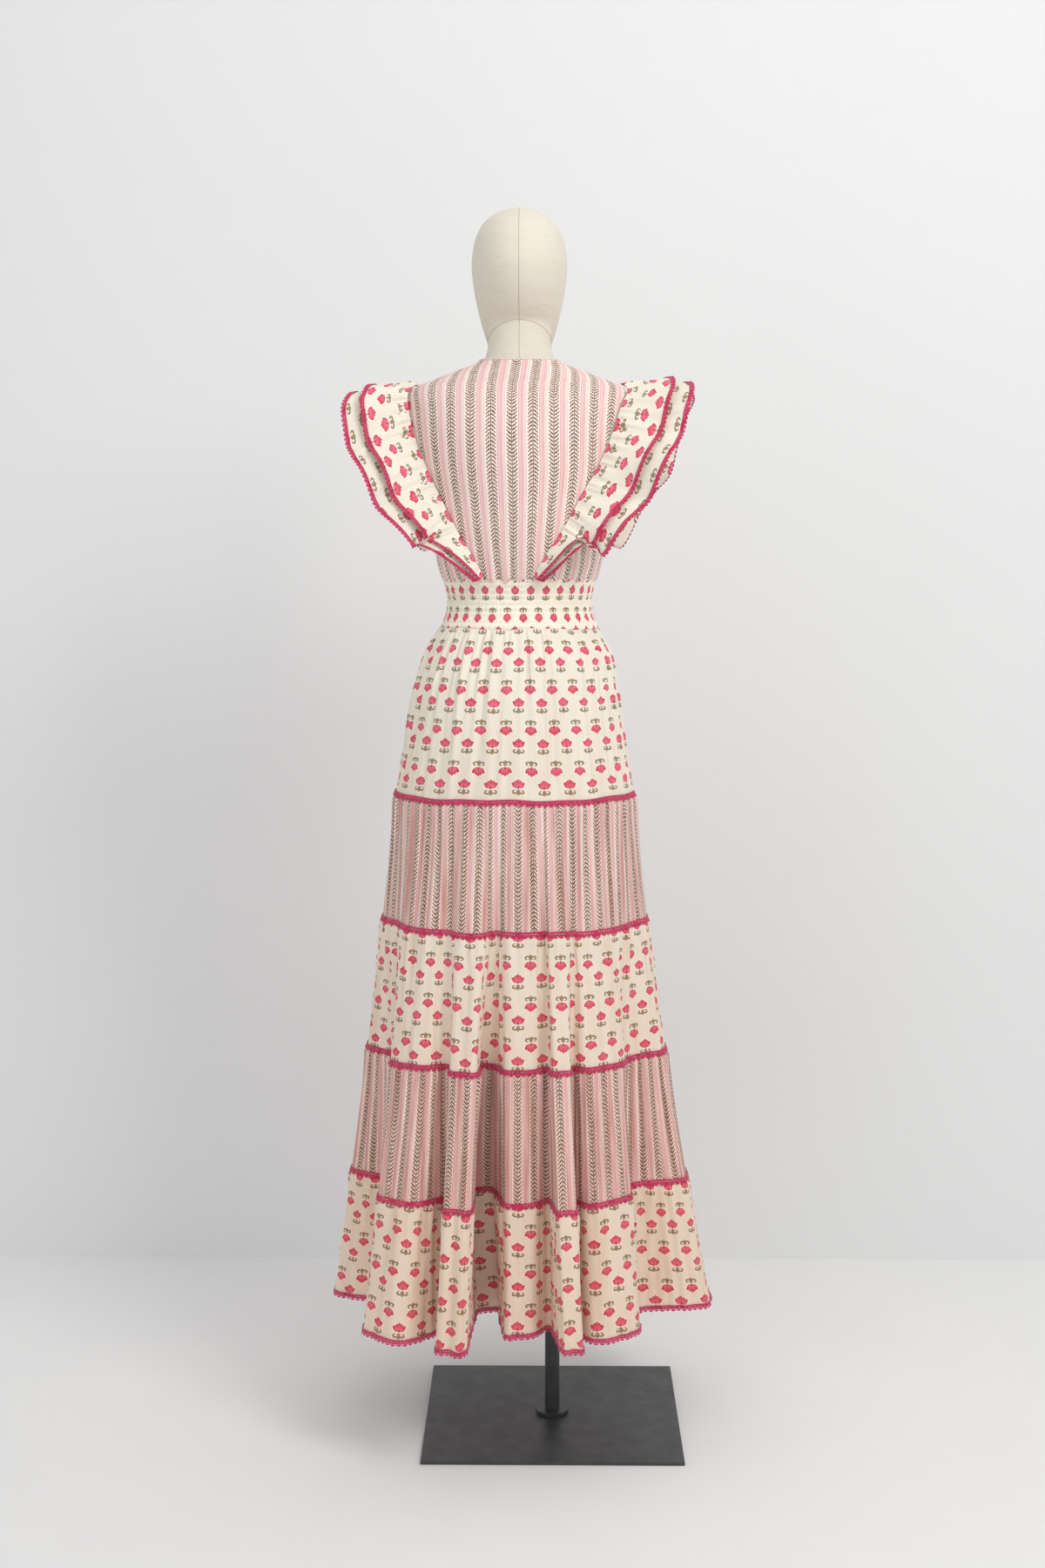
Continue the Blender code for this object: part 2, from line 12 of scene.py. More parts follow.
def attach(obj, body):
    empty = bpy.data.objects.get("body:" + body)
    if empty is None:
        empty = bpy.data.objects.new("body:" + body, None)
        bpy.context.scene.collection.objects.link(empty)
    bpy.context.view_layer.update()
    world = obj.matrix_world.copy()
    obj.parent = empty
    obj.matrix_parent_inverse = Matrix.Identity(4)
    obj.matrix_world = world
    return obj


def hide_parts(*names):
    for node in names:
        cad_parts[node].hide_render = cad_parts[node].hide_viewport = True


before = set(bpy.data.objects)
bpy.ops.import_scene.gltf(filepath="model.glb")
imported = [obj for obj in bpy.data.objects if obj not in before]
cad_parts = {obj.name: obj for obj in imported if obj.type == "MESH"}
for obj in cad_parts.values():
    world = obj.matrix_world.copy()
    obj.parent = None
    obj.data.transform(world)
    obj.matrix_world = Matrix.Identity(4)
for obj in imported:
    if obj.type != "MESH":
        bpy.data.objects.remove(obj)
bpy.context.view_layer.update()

# The named sizes below are those of the part's source
AXIS_X = -0.052
HEM_Z = 0.200
TIER_Z = (1.257, 1.003, 0.808, 0.605, 0.405, HEM_Z)
BAND_TOP_Z = 1.327
UNDERARM_Z = 1.478
SHOULDER_TIP_Z = 1.624
BACK_NECK_Z = 1.660
FRONT_NECK_TOP_Z = 1.655
V_NECK_Z = 1.475
V_NECK_HALF_WIDTH = 0.056

# The form's sections: height, half width, depth to the back, depth to the front
FORM_SECTIONS = (
    (1.040, 0.138, 0.104, 0.096),
    (1.100, 0.144, 0.112, 0.103),
    (1.160, 0.139, 0.108, 0.101),
    (1.210, 0.125, 0.094, 0.094),
    (1.260, 0.112, 0.084, 0.090),
    (1.300, 0.1075, 0.0813, 0.0893),
    (1.340, 0.1090, 0.0825, 0.0925),
    (1.400, 0.119, 0.092, 0.108),
    (1.450, 0.130, 0.100, 0.124),
    (1.500, 0.146, 0.104, 0.120),
    (1.545, 0.159, 0.101, 0.104),
    (1.590, 0.1655, 0.088, 0.082),
    (1.608, 0.1660, 0.074, 0.064),
    (1.619, 0.1600, 0.064, 0.053),
    (1.627, 0.142, 0.059, 0.048),
    (1.636, 0.118, 0.057, 0.046),
    (1.645, 0.092, 0.053, 0.044),
    (1.655, 0.066, 0.050, 0.044),
    (1.668, 0.052, 0.047, 0.045),
    (1.690, 0.0475, 0.045, 0.046),
    (1.735, 0.0470, 0.044, 0.050),
)

# The head: height, half width, depth to the back, depth to the front
HEAD_SECTIONS = (
    (1.668, 0.034, -0.024, 0.070),
    (1.676, 0.0440, -0.016, 0.080),
    (1.692, 0.0497, 0.006, 0.088),
    (1.711, 0.0560, 0.032, 0.094),
    (1.743, 0.0643, 0.070, 0.099),
    (1.774, 0.0702, 0.090, 0.101),
    (1.805, 0.0728, 0.098, 0.099),
    (1.836, 0.0690, 0.093, 0.090),
    (1.862, 0.0580, 0.078, 0.073),
    (1.880, 0.0380, 0.051, 0.046),
    (1.888, 0.0160, 0.022, 0.019),
)

# The seam under the head, and the soft corner there
NECK_SEAM_Z = 1.7200
NECK_SEAM_DROP = 0.028
CHIN_SEAM_DROP = 0.018
SKIN_CORNER = 0.004
SKIN_JOIN_Z = 1.704
SKIN_TOP_Z = 1.760
HEAD_SEAM_STARTS = {"back": 1.715, "front": 1.676}
HEAD_SEAM_RADIUS = 0.0004
NECK_SEAM_RADIUS = 0.00045
NAPE_SEAM_RADIUS = 0.00035
NAPE_SEAM_Z = (1.662, 1.722)
HEAD_TOP = (1.8890, 0.004, 0.006, 0.005)

# How far the bodice's outer face stands off the form: height, distance
BODICE_EASE = (
    (1.327, 0.0085),
    (1.340, 0.0130),
    (1.360, 0.0160),
    (1.400, 0.0145),
    (1.450, 0.0090),
    (1.500, 0.0060),
    (1.545, 0.0042),
    (1.590, 0.0030),
    (1.634, 0.0027),
    (1.645, 0.0036),
    (1.668, 0.0036),
)
LEVEL_BELOW_Z = 1.545
SQUARE_ABOVE_Z = 1.600

# The ruffles' seam: height, degrees from the centre back on the left and right, and from the front
RUFFLE_SEAM = (
    (1.327, 25.0, 9.0, 17.0),
    (1.360, 32.0, 17.0, 24.0),
    (1.410, 46.0, 31.0, 38.0),
    (1.465, 60.0, 44.0, 52.0),
    (1.505, 67.0, 52.0, 60.0),
    (1.545, 73.0, 57.0, 66.0),
    (1.590, 79.0, 64.0, 71.0),
    (1.608, 82.0, 71.0, 76.0),
    (1.618, 85.0, 79.0, 82.0),
    (1.624, 89.0, 88.0, 89.0),
)

# The skirt above its first lace: height, then reach to the left, right, back and front
SKIRT_SECTIONS = (
    (1.257, 0.125, 0.120, 0.097, 0.102),
    (1.240, 0.134, 0.128, 0.107, 0.108),
    (1.210, 0.147, 0.142, 0.122, 0.116),
    (1.156, 0.164, 0.151, 0.138, 0.126),
    (1.102, 0.173, 0.160, 0.148, 0.134),
    (1.048, 0.183, 0.169, 0.156, 0.142),
    (1.003, 0.192, 0.177, 0.162, 0.149),
)
HEM_MIDDLE = (0.268, 0.238, 0.240, 0.240)
FOLD_GROWTH = 1.6
HIP_SWING = 0.4
CREST_ROUNDING = 0.30

# The hem's plan in the deep recess between two folds: place, then x and y from the dress's axis
RECESS = (
    (2.50, -0.0762, -0.2796),
    (2.56, -0.0735, -0.2350),
    (2.67, -0.0665, -0.1000),
    (2.71, -0.0600, -0.0900),
    (2.80, -0.0360, -0.0880),
    (2.84, -0.0310, -0.0960),
    (2.94, -0.0230, -0.1700),
    (3.00, -0.0212, -0.2063),
)
RECESS_STARTS = 0.30

# The folds at the hem: the crest's angle, radius and half width, the next trough's angle and radius
FOLDS = (
    (-92.0, 0.293, 0.030, -68.0, 0.205),
    (-45.0, 0.300, 0.046, -30.0, 0.200),
    (-20.0, 0.296, 0.024, -11.5, 0.105),
    (0.5, 0.213, 0.023, 15.5, 0.181),
    (17.0, 0.285, 0.016, 23.8, 0.190),
    (37.0, 0.262, 0.044, 60.0, 0.200),
    (83.0, 0.302, 0.040, 98.0, 0.225),
    (112.0, 0.290, 0.033, 124.0, 0.190),
    (136.0, 0.285, 0.030, 147.0, 0.155),
    (158.0, 0.280, 0.033, 169.0, 0.180),
    (180.0, 0.288, 0.028, 191.0, 0.150),
    (202.0, 0.284, 0.034, 214.0, 0.175),
    (226.0, 0.288, 0.031, 237.0, 0.192),
    (248.0, 0.284, 0.026, 258.0, 0.225),
)

# The smocked waistband: height, half width, depth to the back, depth to the front
BAND_SECTIONS = (
    (1.257, 0.1215, 0.0950, 0.0995),
    (1.270, 0.1155, 0.0895, 0.0955),
    (1.285, 0.1112, 0.0850, 0.0925),
    (1.300, 0.1100, 0.0838, 0.0918),
    (1.315, 0.1125, 0.0860, 0.0945),
    (1.327, 0.1160, 0.0897, 0.0990),
)
BAND_PUFFS = 8
BAND_REPEATS = 30
BINDING_RADIUS = 0.0012

# The ruffles: share of the seam, width of the under layer, reach outwards, away and up
RUFFLE_REACH = (
    (0.00, 0.022, 0.60, 0.55, -0.35),
    (0.06, 0.050, 0.78, 0.55, -0.27),
    (0.15, 0.088, 0.82, 0.50, -0.36),
    (0.31, 0.108, 0.84, 0.46, -0.24),
    (0.43, 0.107, 0.94, 0.26, -0.10),
    (0.50, 0.099, 1.00, 0.00, 0.00),
    (0.57, 0.107, 0.94, -0.26, -0.10),
    (0.69, 0.108, 0.84, -0.46, -0.24),
    (0.85, 0.088, 0.82, -0.50, -0.36),
    (0.94, 0.050, 0.78, -0.55, -0.27),
    (1.00, 0.022, 0.60, -0.55, -0.35),
)
RUFFLE_FOOT_Z = 1.335
UPPER_SHARE = 0.73
RUFFLE_WAVES = 7
WAVE_DRIFT = 0.02
SEAM_STEPS = 40
RUFFLE_WAVE = 0.010
RUFFLE_LIFT = 0.0015
ROOT_CLEARANCE = 0.0025
LAYER_LIFT = 0.0015
LAYER_SPREAD = 0.008
# How much further up, or down, each side's ruffle reaches at the shoulder
SHOULDER_LIFT = {"left": -0.16, "right": 0.03}
RUFFLE_TRIM_WIDTH = 0.008
WAVE_LEAN = 0.0045
RUFFLE_CREASE = 0.0066
RUFFLE_SLACK = 1.04

# Where a ruffle's edge doubles back: share of the seam, width there, shift along and depth
S_FOLDS = {
    "left": ((0.125, 0.034, 0.034, 0.016), (0.885, 0.036, 0.026, 0.012)),
    "right": ((0.105, 0.030, 0.030, -0.014), (0.880, 0.036, 0.026, 0.012)),
}
SIDES = {"left": -1.0, "right": 1.0}

# Prints, in millimetres of flat cloth
MOTIF_PITCH = 43.0
MOTIF_STRETCH = 1.08
MOTIF_REPEAT = 61.0
INVERTED_RISE = 20.0
MOTIF_FOOT = 19.4
UPRIGHT_TALL = 29.4
VINE_PITCH = 31.5
LEAF_PITCH = 6.0
SKIRT_TOP_MM = 1230.0

# Meshes
TIER_COLUMNS = 1008
TIER_ROWS = 36
BAND_PLEATS = 280
FORM_COLUMNS = 112
LACE_HEIGHT = 0.0098
LACE_PITCH = 0.0090
RUFFLE_LACE_PITCH = 0.0072
LACE_LIFT = 0.0013
CLOTH_MAP = "flat_cloth"


# The photograph's camera

def put_camera():
    camera = bpy.data.objects.new("camera", bpy.data.cameras.new("camera"))
    camera.data.lens = 50.0
    camera.data.sensor_width = 36.0
    yaw, pitch = 0.01068, 0.09993
    turn = Matrix.Rotation(yaw, 4, "Z") @ Matrix.Rotation(math.pi / 2 - pitch, 4, "X")
    camera.matrix_world = Matrix.Translation((-0.0115, -3.3693, 1.3518)) @ turn
    bpy.context.scene.collection.objects.link(camera)
    bpy.context.scene.camera = camera


# Curves and surfaces, on whole arrays of points

def curve_at(table, heights):
    """A table's columns at each height, on a smooth curve that never overshoots its rows."""
    rows = np.array(sorted(table), dtype=float)
    x, y = rows[:, 0], rows[:, 1:]
    steps = np.diff(y, axis=0) / np.diff(x)[:, None]
    slopes = np.vstack([steps[:1], np.zeros_like(steps[1:]), steps[-1:]])
    before, after = steps[:-1], steps[1:]
    alike = before * after > 0
    total = np.where(alike, before + after, 1.0)
    slopes[1:-1] = np.where(alike, 2 * before * after / total, 0.0)
    at = np.clip(np.asarray(heights, dtype=float), x[0], x[-1])
    k = np.clip(np.searchsorted(x, at, side="right") - 1, 0, len(x) - 2)
    span = (x[k + 1] - x[k])[..., None]
    t = (at - x[k])[..., None] / span
    return (
        (2 * t**3 - 3 * t**2 + 1) * y[k]
        + (t**3 - 2 * t**2 + t) * slopes[k] * span
        + (3 * t**2 - 2 * t**3) * y[k + 1]
        + (t**3 - t**2) * slopes[k + 1] * span
    )


def unit(vectors):
    return vectors / np.maximum(np.linalg.norm(vectors, axis=-1, keepdims=True), 1e-12)


def oval(degrees, heights, left, right, back, front):
    """Points of oval sections made of four quarter ellipses round the dress's axis."""
    a = np.radians(degrees)
    across = np.where(np.sin(a) > 0, right, left)
    deep = np.where(np.cos(a) > 0, back, front)
    x = AXIS_X + across * np.sin(a)
    y = -deep * np.cos(a)
    return np.stack(np.broadcast_arrays(x, y, np.asarray(heights, dtype=float)), axis=-1)


def form_point(degrees, heights):
    half, back, front = np.moveaxis(curve_at(FORM_SECTIONS, heights), -1, 0)
    return oval(degrees, heights, half, half, back, front)


def bodice_point(degrees, heights, lift=0.0):
    """Points of the bodice's outer face, moved out by lift."""
    degrees, heights = np.broadcast_arrays(
        np.asarray(degrees, dtype=float), np.asarray(heights, dtype=float)
    )
    ease = curve_at(BODICE_EASE, heights)[..., 0]
    along = form_point(degrees + 0.5, heights) - form_point(degrees - 0.5, heights)
    upward = form_point(degrees, heights + 0.0005) - form_point(degrees, heights - 0.0005)
    out = unit(np.cross(along, upward))
    level = (heights - LEVEL_BELOW_Z) / (SQUARE_ABOVE_Z - LEVEL_BELOW_Z)
    out[..., 2] *= np.clip(level, 0.0, 1.0)
    return form_point(degrees, heights) + unit(out) * (ease + lift)[..., None]


def seam_degrees(side, heights, front=False):
    left, right, from_front = np.moveaxis(curve_at(RUFFLE_SEAM, heights), -1, 0)
    if front:
        return SIDES[side] * (180.0 - from_front)
    return SIDES[side] * (left if side == "left" else right)


def fold_controls():
    points = []
    for crest, radius, half, trough, trough_radius in FOLDS:
        drop = CREST_ROUNDING * half
        for degrees, reach, aside in (
            (crest, radius - drop, -half),
            (crest, radius, 0.0),
            (crest, radius - drop, half),
            (trough, trough_radius, 0.0),
        ):
            a = math.radians(degrees)
            points.append(
                (
                    math.sin(a) * reach + math.cos(a) * aside,
                    -math.cos(a) * reach + math.sin(a) * aside,
                )
            )
    return np.array(points)


def smooth_hem(places):
    """Plan points of the hem's folds, on a smooth closed curve. Places count folds."""
    ring = fold_controls()
    at = (places * 4.0) % len(ring)
    k = at.astype(int)
    t = (at - k)[..., None]
    a, b, c, d = (ring[(k + step) % len(ring)] for step in (-1, 0, 1, 2))
    return 0.5 * (
        2 * b + (c - a) * t + (2 * a - 5 * b + 4 * c - d) * t**2 + (3 * b - a - 3 * c + d) * t**3
    )


def even_degrees(places):
    crests = np.array([fold[0] for fold in FOLDS])
    at = (places - 0.25) % len(FOLDS)
    k = at.astype(int)
    this_one, next_one = crests[k], crests[(k + 1) % len(FOLDS)]
    return this_one + (at - k) * ((next_one - this_one) % 360.0)


def skirt_plan(places, share_down):
    """Plan points of the skirt: share_down is 0 at the hip lace and 1 at the hem."""
    at_hem = smooth_hem(places)
    begun = np.clip((np.asarray(share_down) - RECESS_STARTS) / (1.0 - RECESS_STARTS), 0.0, 1.0)
    table, around = np.array(RECESS), places % len(FOLDS)
    recess = np.stack([np.interp(around, table[:, 0], table[:, k]) for k in (1, 2)], axis=-1)
    within = (around > table[0, 0]) & (around < table[-1, 0])
    at_hem += (recess - at_hem) * (within * begun * (2.0 - begun))[..., None]
    degrees = np.degrees(np.arctan2(at_hem[..., 0], -at_hem[..., 1]))
    even = even_degrees(places)
    swing = (degrees - even + 180.0) % 360.0 - 180.0
    at_hip = oval(even + HIP_SWING * swing, 0.0, *SKIRT_SECTIONS[-1][1:])[..., :2]
    between = oval(degrees, 0.0, *HEM_MIDDLE)[..., :2]
    axis = np.array([AXIS_X, 0.0])
    at_hip, between = at_hip - axis, between - axis
    share = np.asarray(share_down, dtype=float)[..., None]
    return at_hip + (between - at_hip) * share + (at_hem - between) * share**FOLD_GROWTH


def skirt_points(places, heights):
    """A grid of the skirt's outer face before its gathers: a row for each height."""
    hip_z = SKIRT_SECTIONS[-1][0]
    rows = []
    for z in heights:
        plan = skirt_plan(places, np.full_like(places, max(0.0, (hip_z - z) / (hip_z - HEM_Z))))
        if z <= hip_z:
            rows.append(np.column_stack([AXIS_X + plan[:, 0], plan[:, 1], np.full(len(places), z)]))
            continue
        ratio_x, ratio_y = SKIRT_SECTIONS[-1][1], SKIRT_SECTIONS[-1][3]
        degrees = np.degrees(np.arctan2(plan[:, 0] / ratio_x, -plan[:, 1] / ratio_y))
        rows.append(oval(degrees, z, *curve_at(SKIRT_SECTIONS, z)))
    return np.array(rows)


def ring_arc(ring):
    """The length along a closed ring up to each of its points, and then its whole length."""
    steps = np.linalg.norm(np.roll(ring, -1, axis=0) - ring, axis=1)
    return np.concatenate([[0.0], np.cumsum(steps)])


def line_arc(line):
    """The length along an open line up to each of its points."""
    return np.concatenate([[0.0], np.cumsum(np.linalg.norm(np.diff(line, axis=0), axis=1))])


def level_normals(grid):
    """Level outward normals of a grid of closed rings."""
    along = np.roll(grid, -1, axis=1) - np.roll(grid, 1, axis=1)
    return unit(np.stack([along[..., 1], -along[..., 0], np.zeros(along.shape[:2])], axis=-1))


# Meshes

def new_piece(name, mesh, material, nodes=()):
    """An object that rides on the one body and stands for the nodes that it replaces."""
    made = bpy.data.objects.new(name, mesh)
    bpy.context.scene.collection.objects.link(made)
    made.data.materials.clear()
    made.data.materials.append(material)
    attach(made, "root")
    if nodes:
        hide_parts(*nodes)
    return made


def grid_quads(grid, ring):
    """The row and column of each face of a grid, and the face's four corners."""
    rows, columns = grid.shape[:2]
    wide = columns if ring else columns - 1
    r, c = np.meshgrid(np.arange(rows - 1), np.arange(wide), indexing="ij")
    low, high, after = r * columns, (r + 1) * columns, (c + 1) % columns
    quads = np.stack([low + c, low + after, high + after, high + c], -1)
    return r, c, quads.reshape(-1, 4).tolist()


def faces_mesh(name, points, faces):
    mesh = bpy.data.meshes.new(name)
    mesh.from_pydata(np.reshape(points, (-1, 3)).tolist(), [], faces)
    mesh.polygons.foreach_set("use_smooth", np.ones(len(faces), dtype=bool))
    mesh.update()
    return mesh


def closed_rings(name, grid):
    """A mesh of a grid of closed rings, with a face over each end."""
    rows, columns = grid.shape[:2]
    last = (rows - 1) * columns
    ends = [tuple(reversed(range(columns))), tuple(range(last, last + columns))]
    return faces_mesh(name, grid, grid_quads(grid, True)[2] + ends)


def grid_mesh(name, grid, flat, ring):
    """A mesh of a grid of points. Flat has a (u, v) in metres for each point, and one column more
    than a closed ring has, for where it joins."""
    r, c, quads = grid_quads(grid, ring)
    mesh = faces_mesh(name, grid, quads)
    corners = np.stack([flat[r, c], flat[r, c + 1], flat[r + 1, c + 1], flat[r + 1, c]], axis=2)
    layer = mesh.uv_layers.new(name=CLOTH_MAP)
    layer.data.foreach_set("uv", corners.reshape(-1).astype(np.float32))
    return mesh


def grid_normals(grid, ring):
    """Normals of a grid: along its rows, crossed with up its columns."""
    if ring:
        along = np.roll(grid, -1, axis=1) - np.roll(grid, 1, axis=1)
    else:
        along = np.gradient(grid, axis=1)
    return unit(np.cross(along, np.gradient(grid, axis=0)))


def tube_mesh(name, line, radius, sides=8):
    """A closed tube along a line of points."""
    line = np.asarray(line, dtype=float)
    along = unit(np.gradient(line, axis=0))
    aside = unit(np.cross(along, np.array([0.31, 0.52, 0.79])))
    other = np.cross(along, aside)
    turns = np.arange(sides) * 2 * math.pi / sides
    rings = (
        line[:, None]
        + radius * np.cos(turns)[None, :, None] * aside[:, None]
        + radius * np.sin(turns)[None, :, None] * other[:, None]
    )
    return closed_rings(name, rings)


# Crochet trim: strands of one repeat, as shares of the pitch across and millimetres down, with
# their width and how far they stand up

def scallop_points(reach, top, foot, count):
    turns = np.linspace(0.0, math.pi, count)
    return [(0.5 - reach * math.cos(t), top + (foot - top) * math.sin(t)) for t in turns]


STRANDS = (
    # points, width, height
    ([(k / 6, 1.25) for k in range(7)], 2.3, 0.75),
    ([(k / 6, 5.0) for k in range(7)], 1.9, 0.65),
    ([(0.0, 2.2), (0.02, 3.2), (0.0, 4.3)], 1.5, 0.5),
    ([(0.5, 2.2), (0.48, 3.2), (0.5, 4.3)], 1.5, 0.5),
    (scallop_points(0.37, 5.6, 9.0, 8), 1.5, 0.6),
    ([(0.38, 5.6), (0.42, 7.0), (0.46, 8.3)], 1.2, 0.45),
    ([(0.62, 5.6), (0.58, 7.0), (0.54, 8.3)], 1.2, 0.45),
    ([(0.5, 8.8), (0.5, 9.8)], 1.3, 0.5),
    ([(0.22, 7.7), (0.15, 8.5)], 1.1, 0.45),
    ([(0.78, 7.7), (0.85, 8.5)], 1.1, 0.45),
)


def strand_cell(pitch_mm):
    """One repeat of the trim: points (x mm, y mm, height mm) and four-cornered faces."""
    points, faces = [], []
    for line, width, height in STRANDS:
        track = np.array([(x * pitch_mm, y) for x, y in line])
        along = unit(np.gradient(track, axis=0))
        aside = np.column_stack([-along[:, 1], along[:, 0]])
        first = len(points)
        for k, (at, square) in enumerate(zip(track, aside)):
            plump = 1.0 + (0.16 if k % 2 else -0.12)
            for share, rise in ((-0.5, 0.0), (-0.22, 0.8), (0.22, 0.8), (0.5, 0.0)):
                spot = at + square * share * width * plump
                points.append((spot[0], spot[1], rise * height * plump))
        for k in range(len(track) - 1):
            for j in range(3):
                a = first + 4 * k + j
                faces.append((a, a + 1, a + 5, a + 4))
    return np.array(points), np.array(faces)


def lay_trim(name, grid, normals, ring, pitch, height):
    """Repeats of the crochet trim laid on a grid whose last row is its top edge, as a mesh."""
    middle = grid[len(grid) // 2]
    if ring:
        arc = ring_arc(middle)
        grid = np.concatenate([grid, grid[:, :1]], axis=1)
        normals = np.concatenate([normals, normals[:, :1]], axis=1)
    else:
        arc = line_arc(middle)
    count = max(1, int(round(arc[-1] / pitch)))
    cell, cell_faces = strand_cell(pitch * 1000.0)
    scale = arc[-1] / (count * pitch)
    at = (np.arange(count)[:, None] * pitch + cell[None, :, 0] / 1000.0) * scale
    at = np.clip(at, 0.0, arc[-1]) if not ring else at % arc[-1]
    column = np.interp(at, arc, np.arange(len(arc)))
    down = cell[None, :, 1] / 1000.0 * height / LACE_HEIGHT
    deep = np.linalg.norm(grid[-1, 0] - grid[0, 0])
    row = np.clip(1.0 - down / deep, 0.0, 1.0) * (len(grid) - 1)
    row = np.broadcast_to(row, column.shape)
    spots = sample(grid, row, column)
    out = unit(sample(normals, row, column))
    rise = LACE_LIFT + cell[None, :, 2] / 1000.0
    faces = (np.arange(count)[:, None, None] * len(cell) + cell_faces[None]).reshape(-1, 4)
    return faces_mesh(name, spots + out * rise[..., None], faces.tolist())


def sample(grid, row, column):
    """A grid's values between its points."""
    r = np.clip(row.astype(int), 0, grid.shape[0] - 2)
    c = np.clip(column.astype(int), 0, grid.shape[1] - 2)
    fr, fc = (row - r)[..., None], (column - c)[..., None]
    low = grid[r, c] * (1 - fc) + grid[r, c + 1] * fc
    high = grid[r + 1, c] * (1 - fc) + grid[r + 1, c + 1] * fc
    return low * (1 - fr) + high * fr


# Materials

def linear(red, green, blue):
    """A screen colour, 0 to 255, as a linear one."""
    out = []
    for value in (red, green, blue):
        c = value / 255.0
        out.append(c / 12.92 if c <= 0.04045 else ((c + 0.055) / 1.055) ** 2.4)
    return (*out, 1.0)


def feed(tree, value, socket):
    """A field, or one number, into a socket."""
    if isinstance(value, Field):
        tree.links.new(value.socket, socket)
    else:
        socket.default_value = value


class Field:
    """A number that varies over the surface: arithmetic on it makes Math nodes."""

    def __init__(self, tree, socket):
        self.tree, self.socket = tree, socket

    def node(self, operation, *others, clamp=False):
        made = self.tree.nodes.new("ShaderNodeMath")
        made.operation = operation
        made.use_clamp = clamp
        for k, value in enumerate((self, *others)):
            feed(self.tree, value, made.inputs[k])
        return Field(self.tree, made.outputs[0])

    def __add__(self, other):
        return self.node("ADD", other)

    def __sub__(self, other):
        return self.node("SUBTRACT", other)

    def __rsub__(self, other):
        return self.node("MULTIPLY", -1.0).node("ADD", other)

    def __mul__(self, other):
        return self.node("MULTIPLY", other)

    def __truediv__(self, other):
        return self.node("DIVIDE", other)

    def __abs__(self):
        return self.node("ABSOLUTE")

    def floor(self):
        return self.node("FLOOR")

    def modulo(self, size):
        return self.node("FLOORED_MODULO", size)

    def most(self, other):
        return self.node("MAXIMUM", other)

    def least(self, other):
        return self.node("MINIMUM", other)

    def root(self):
        return self.node("SQRT")

    def squared(self):
        return self.node("MULTIPLY", self)

    def under(self, limit, blur=0.3):
        """1 where the number is under the limit, with a soft edge."""
        gap = limit - self if isinstance(limit, Field) else self.node("MULTIPLY", -1.0) + limit
        return (gap / (2.0 * blur)).node("ADD", 0.5, clamp=True)


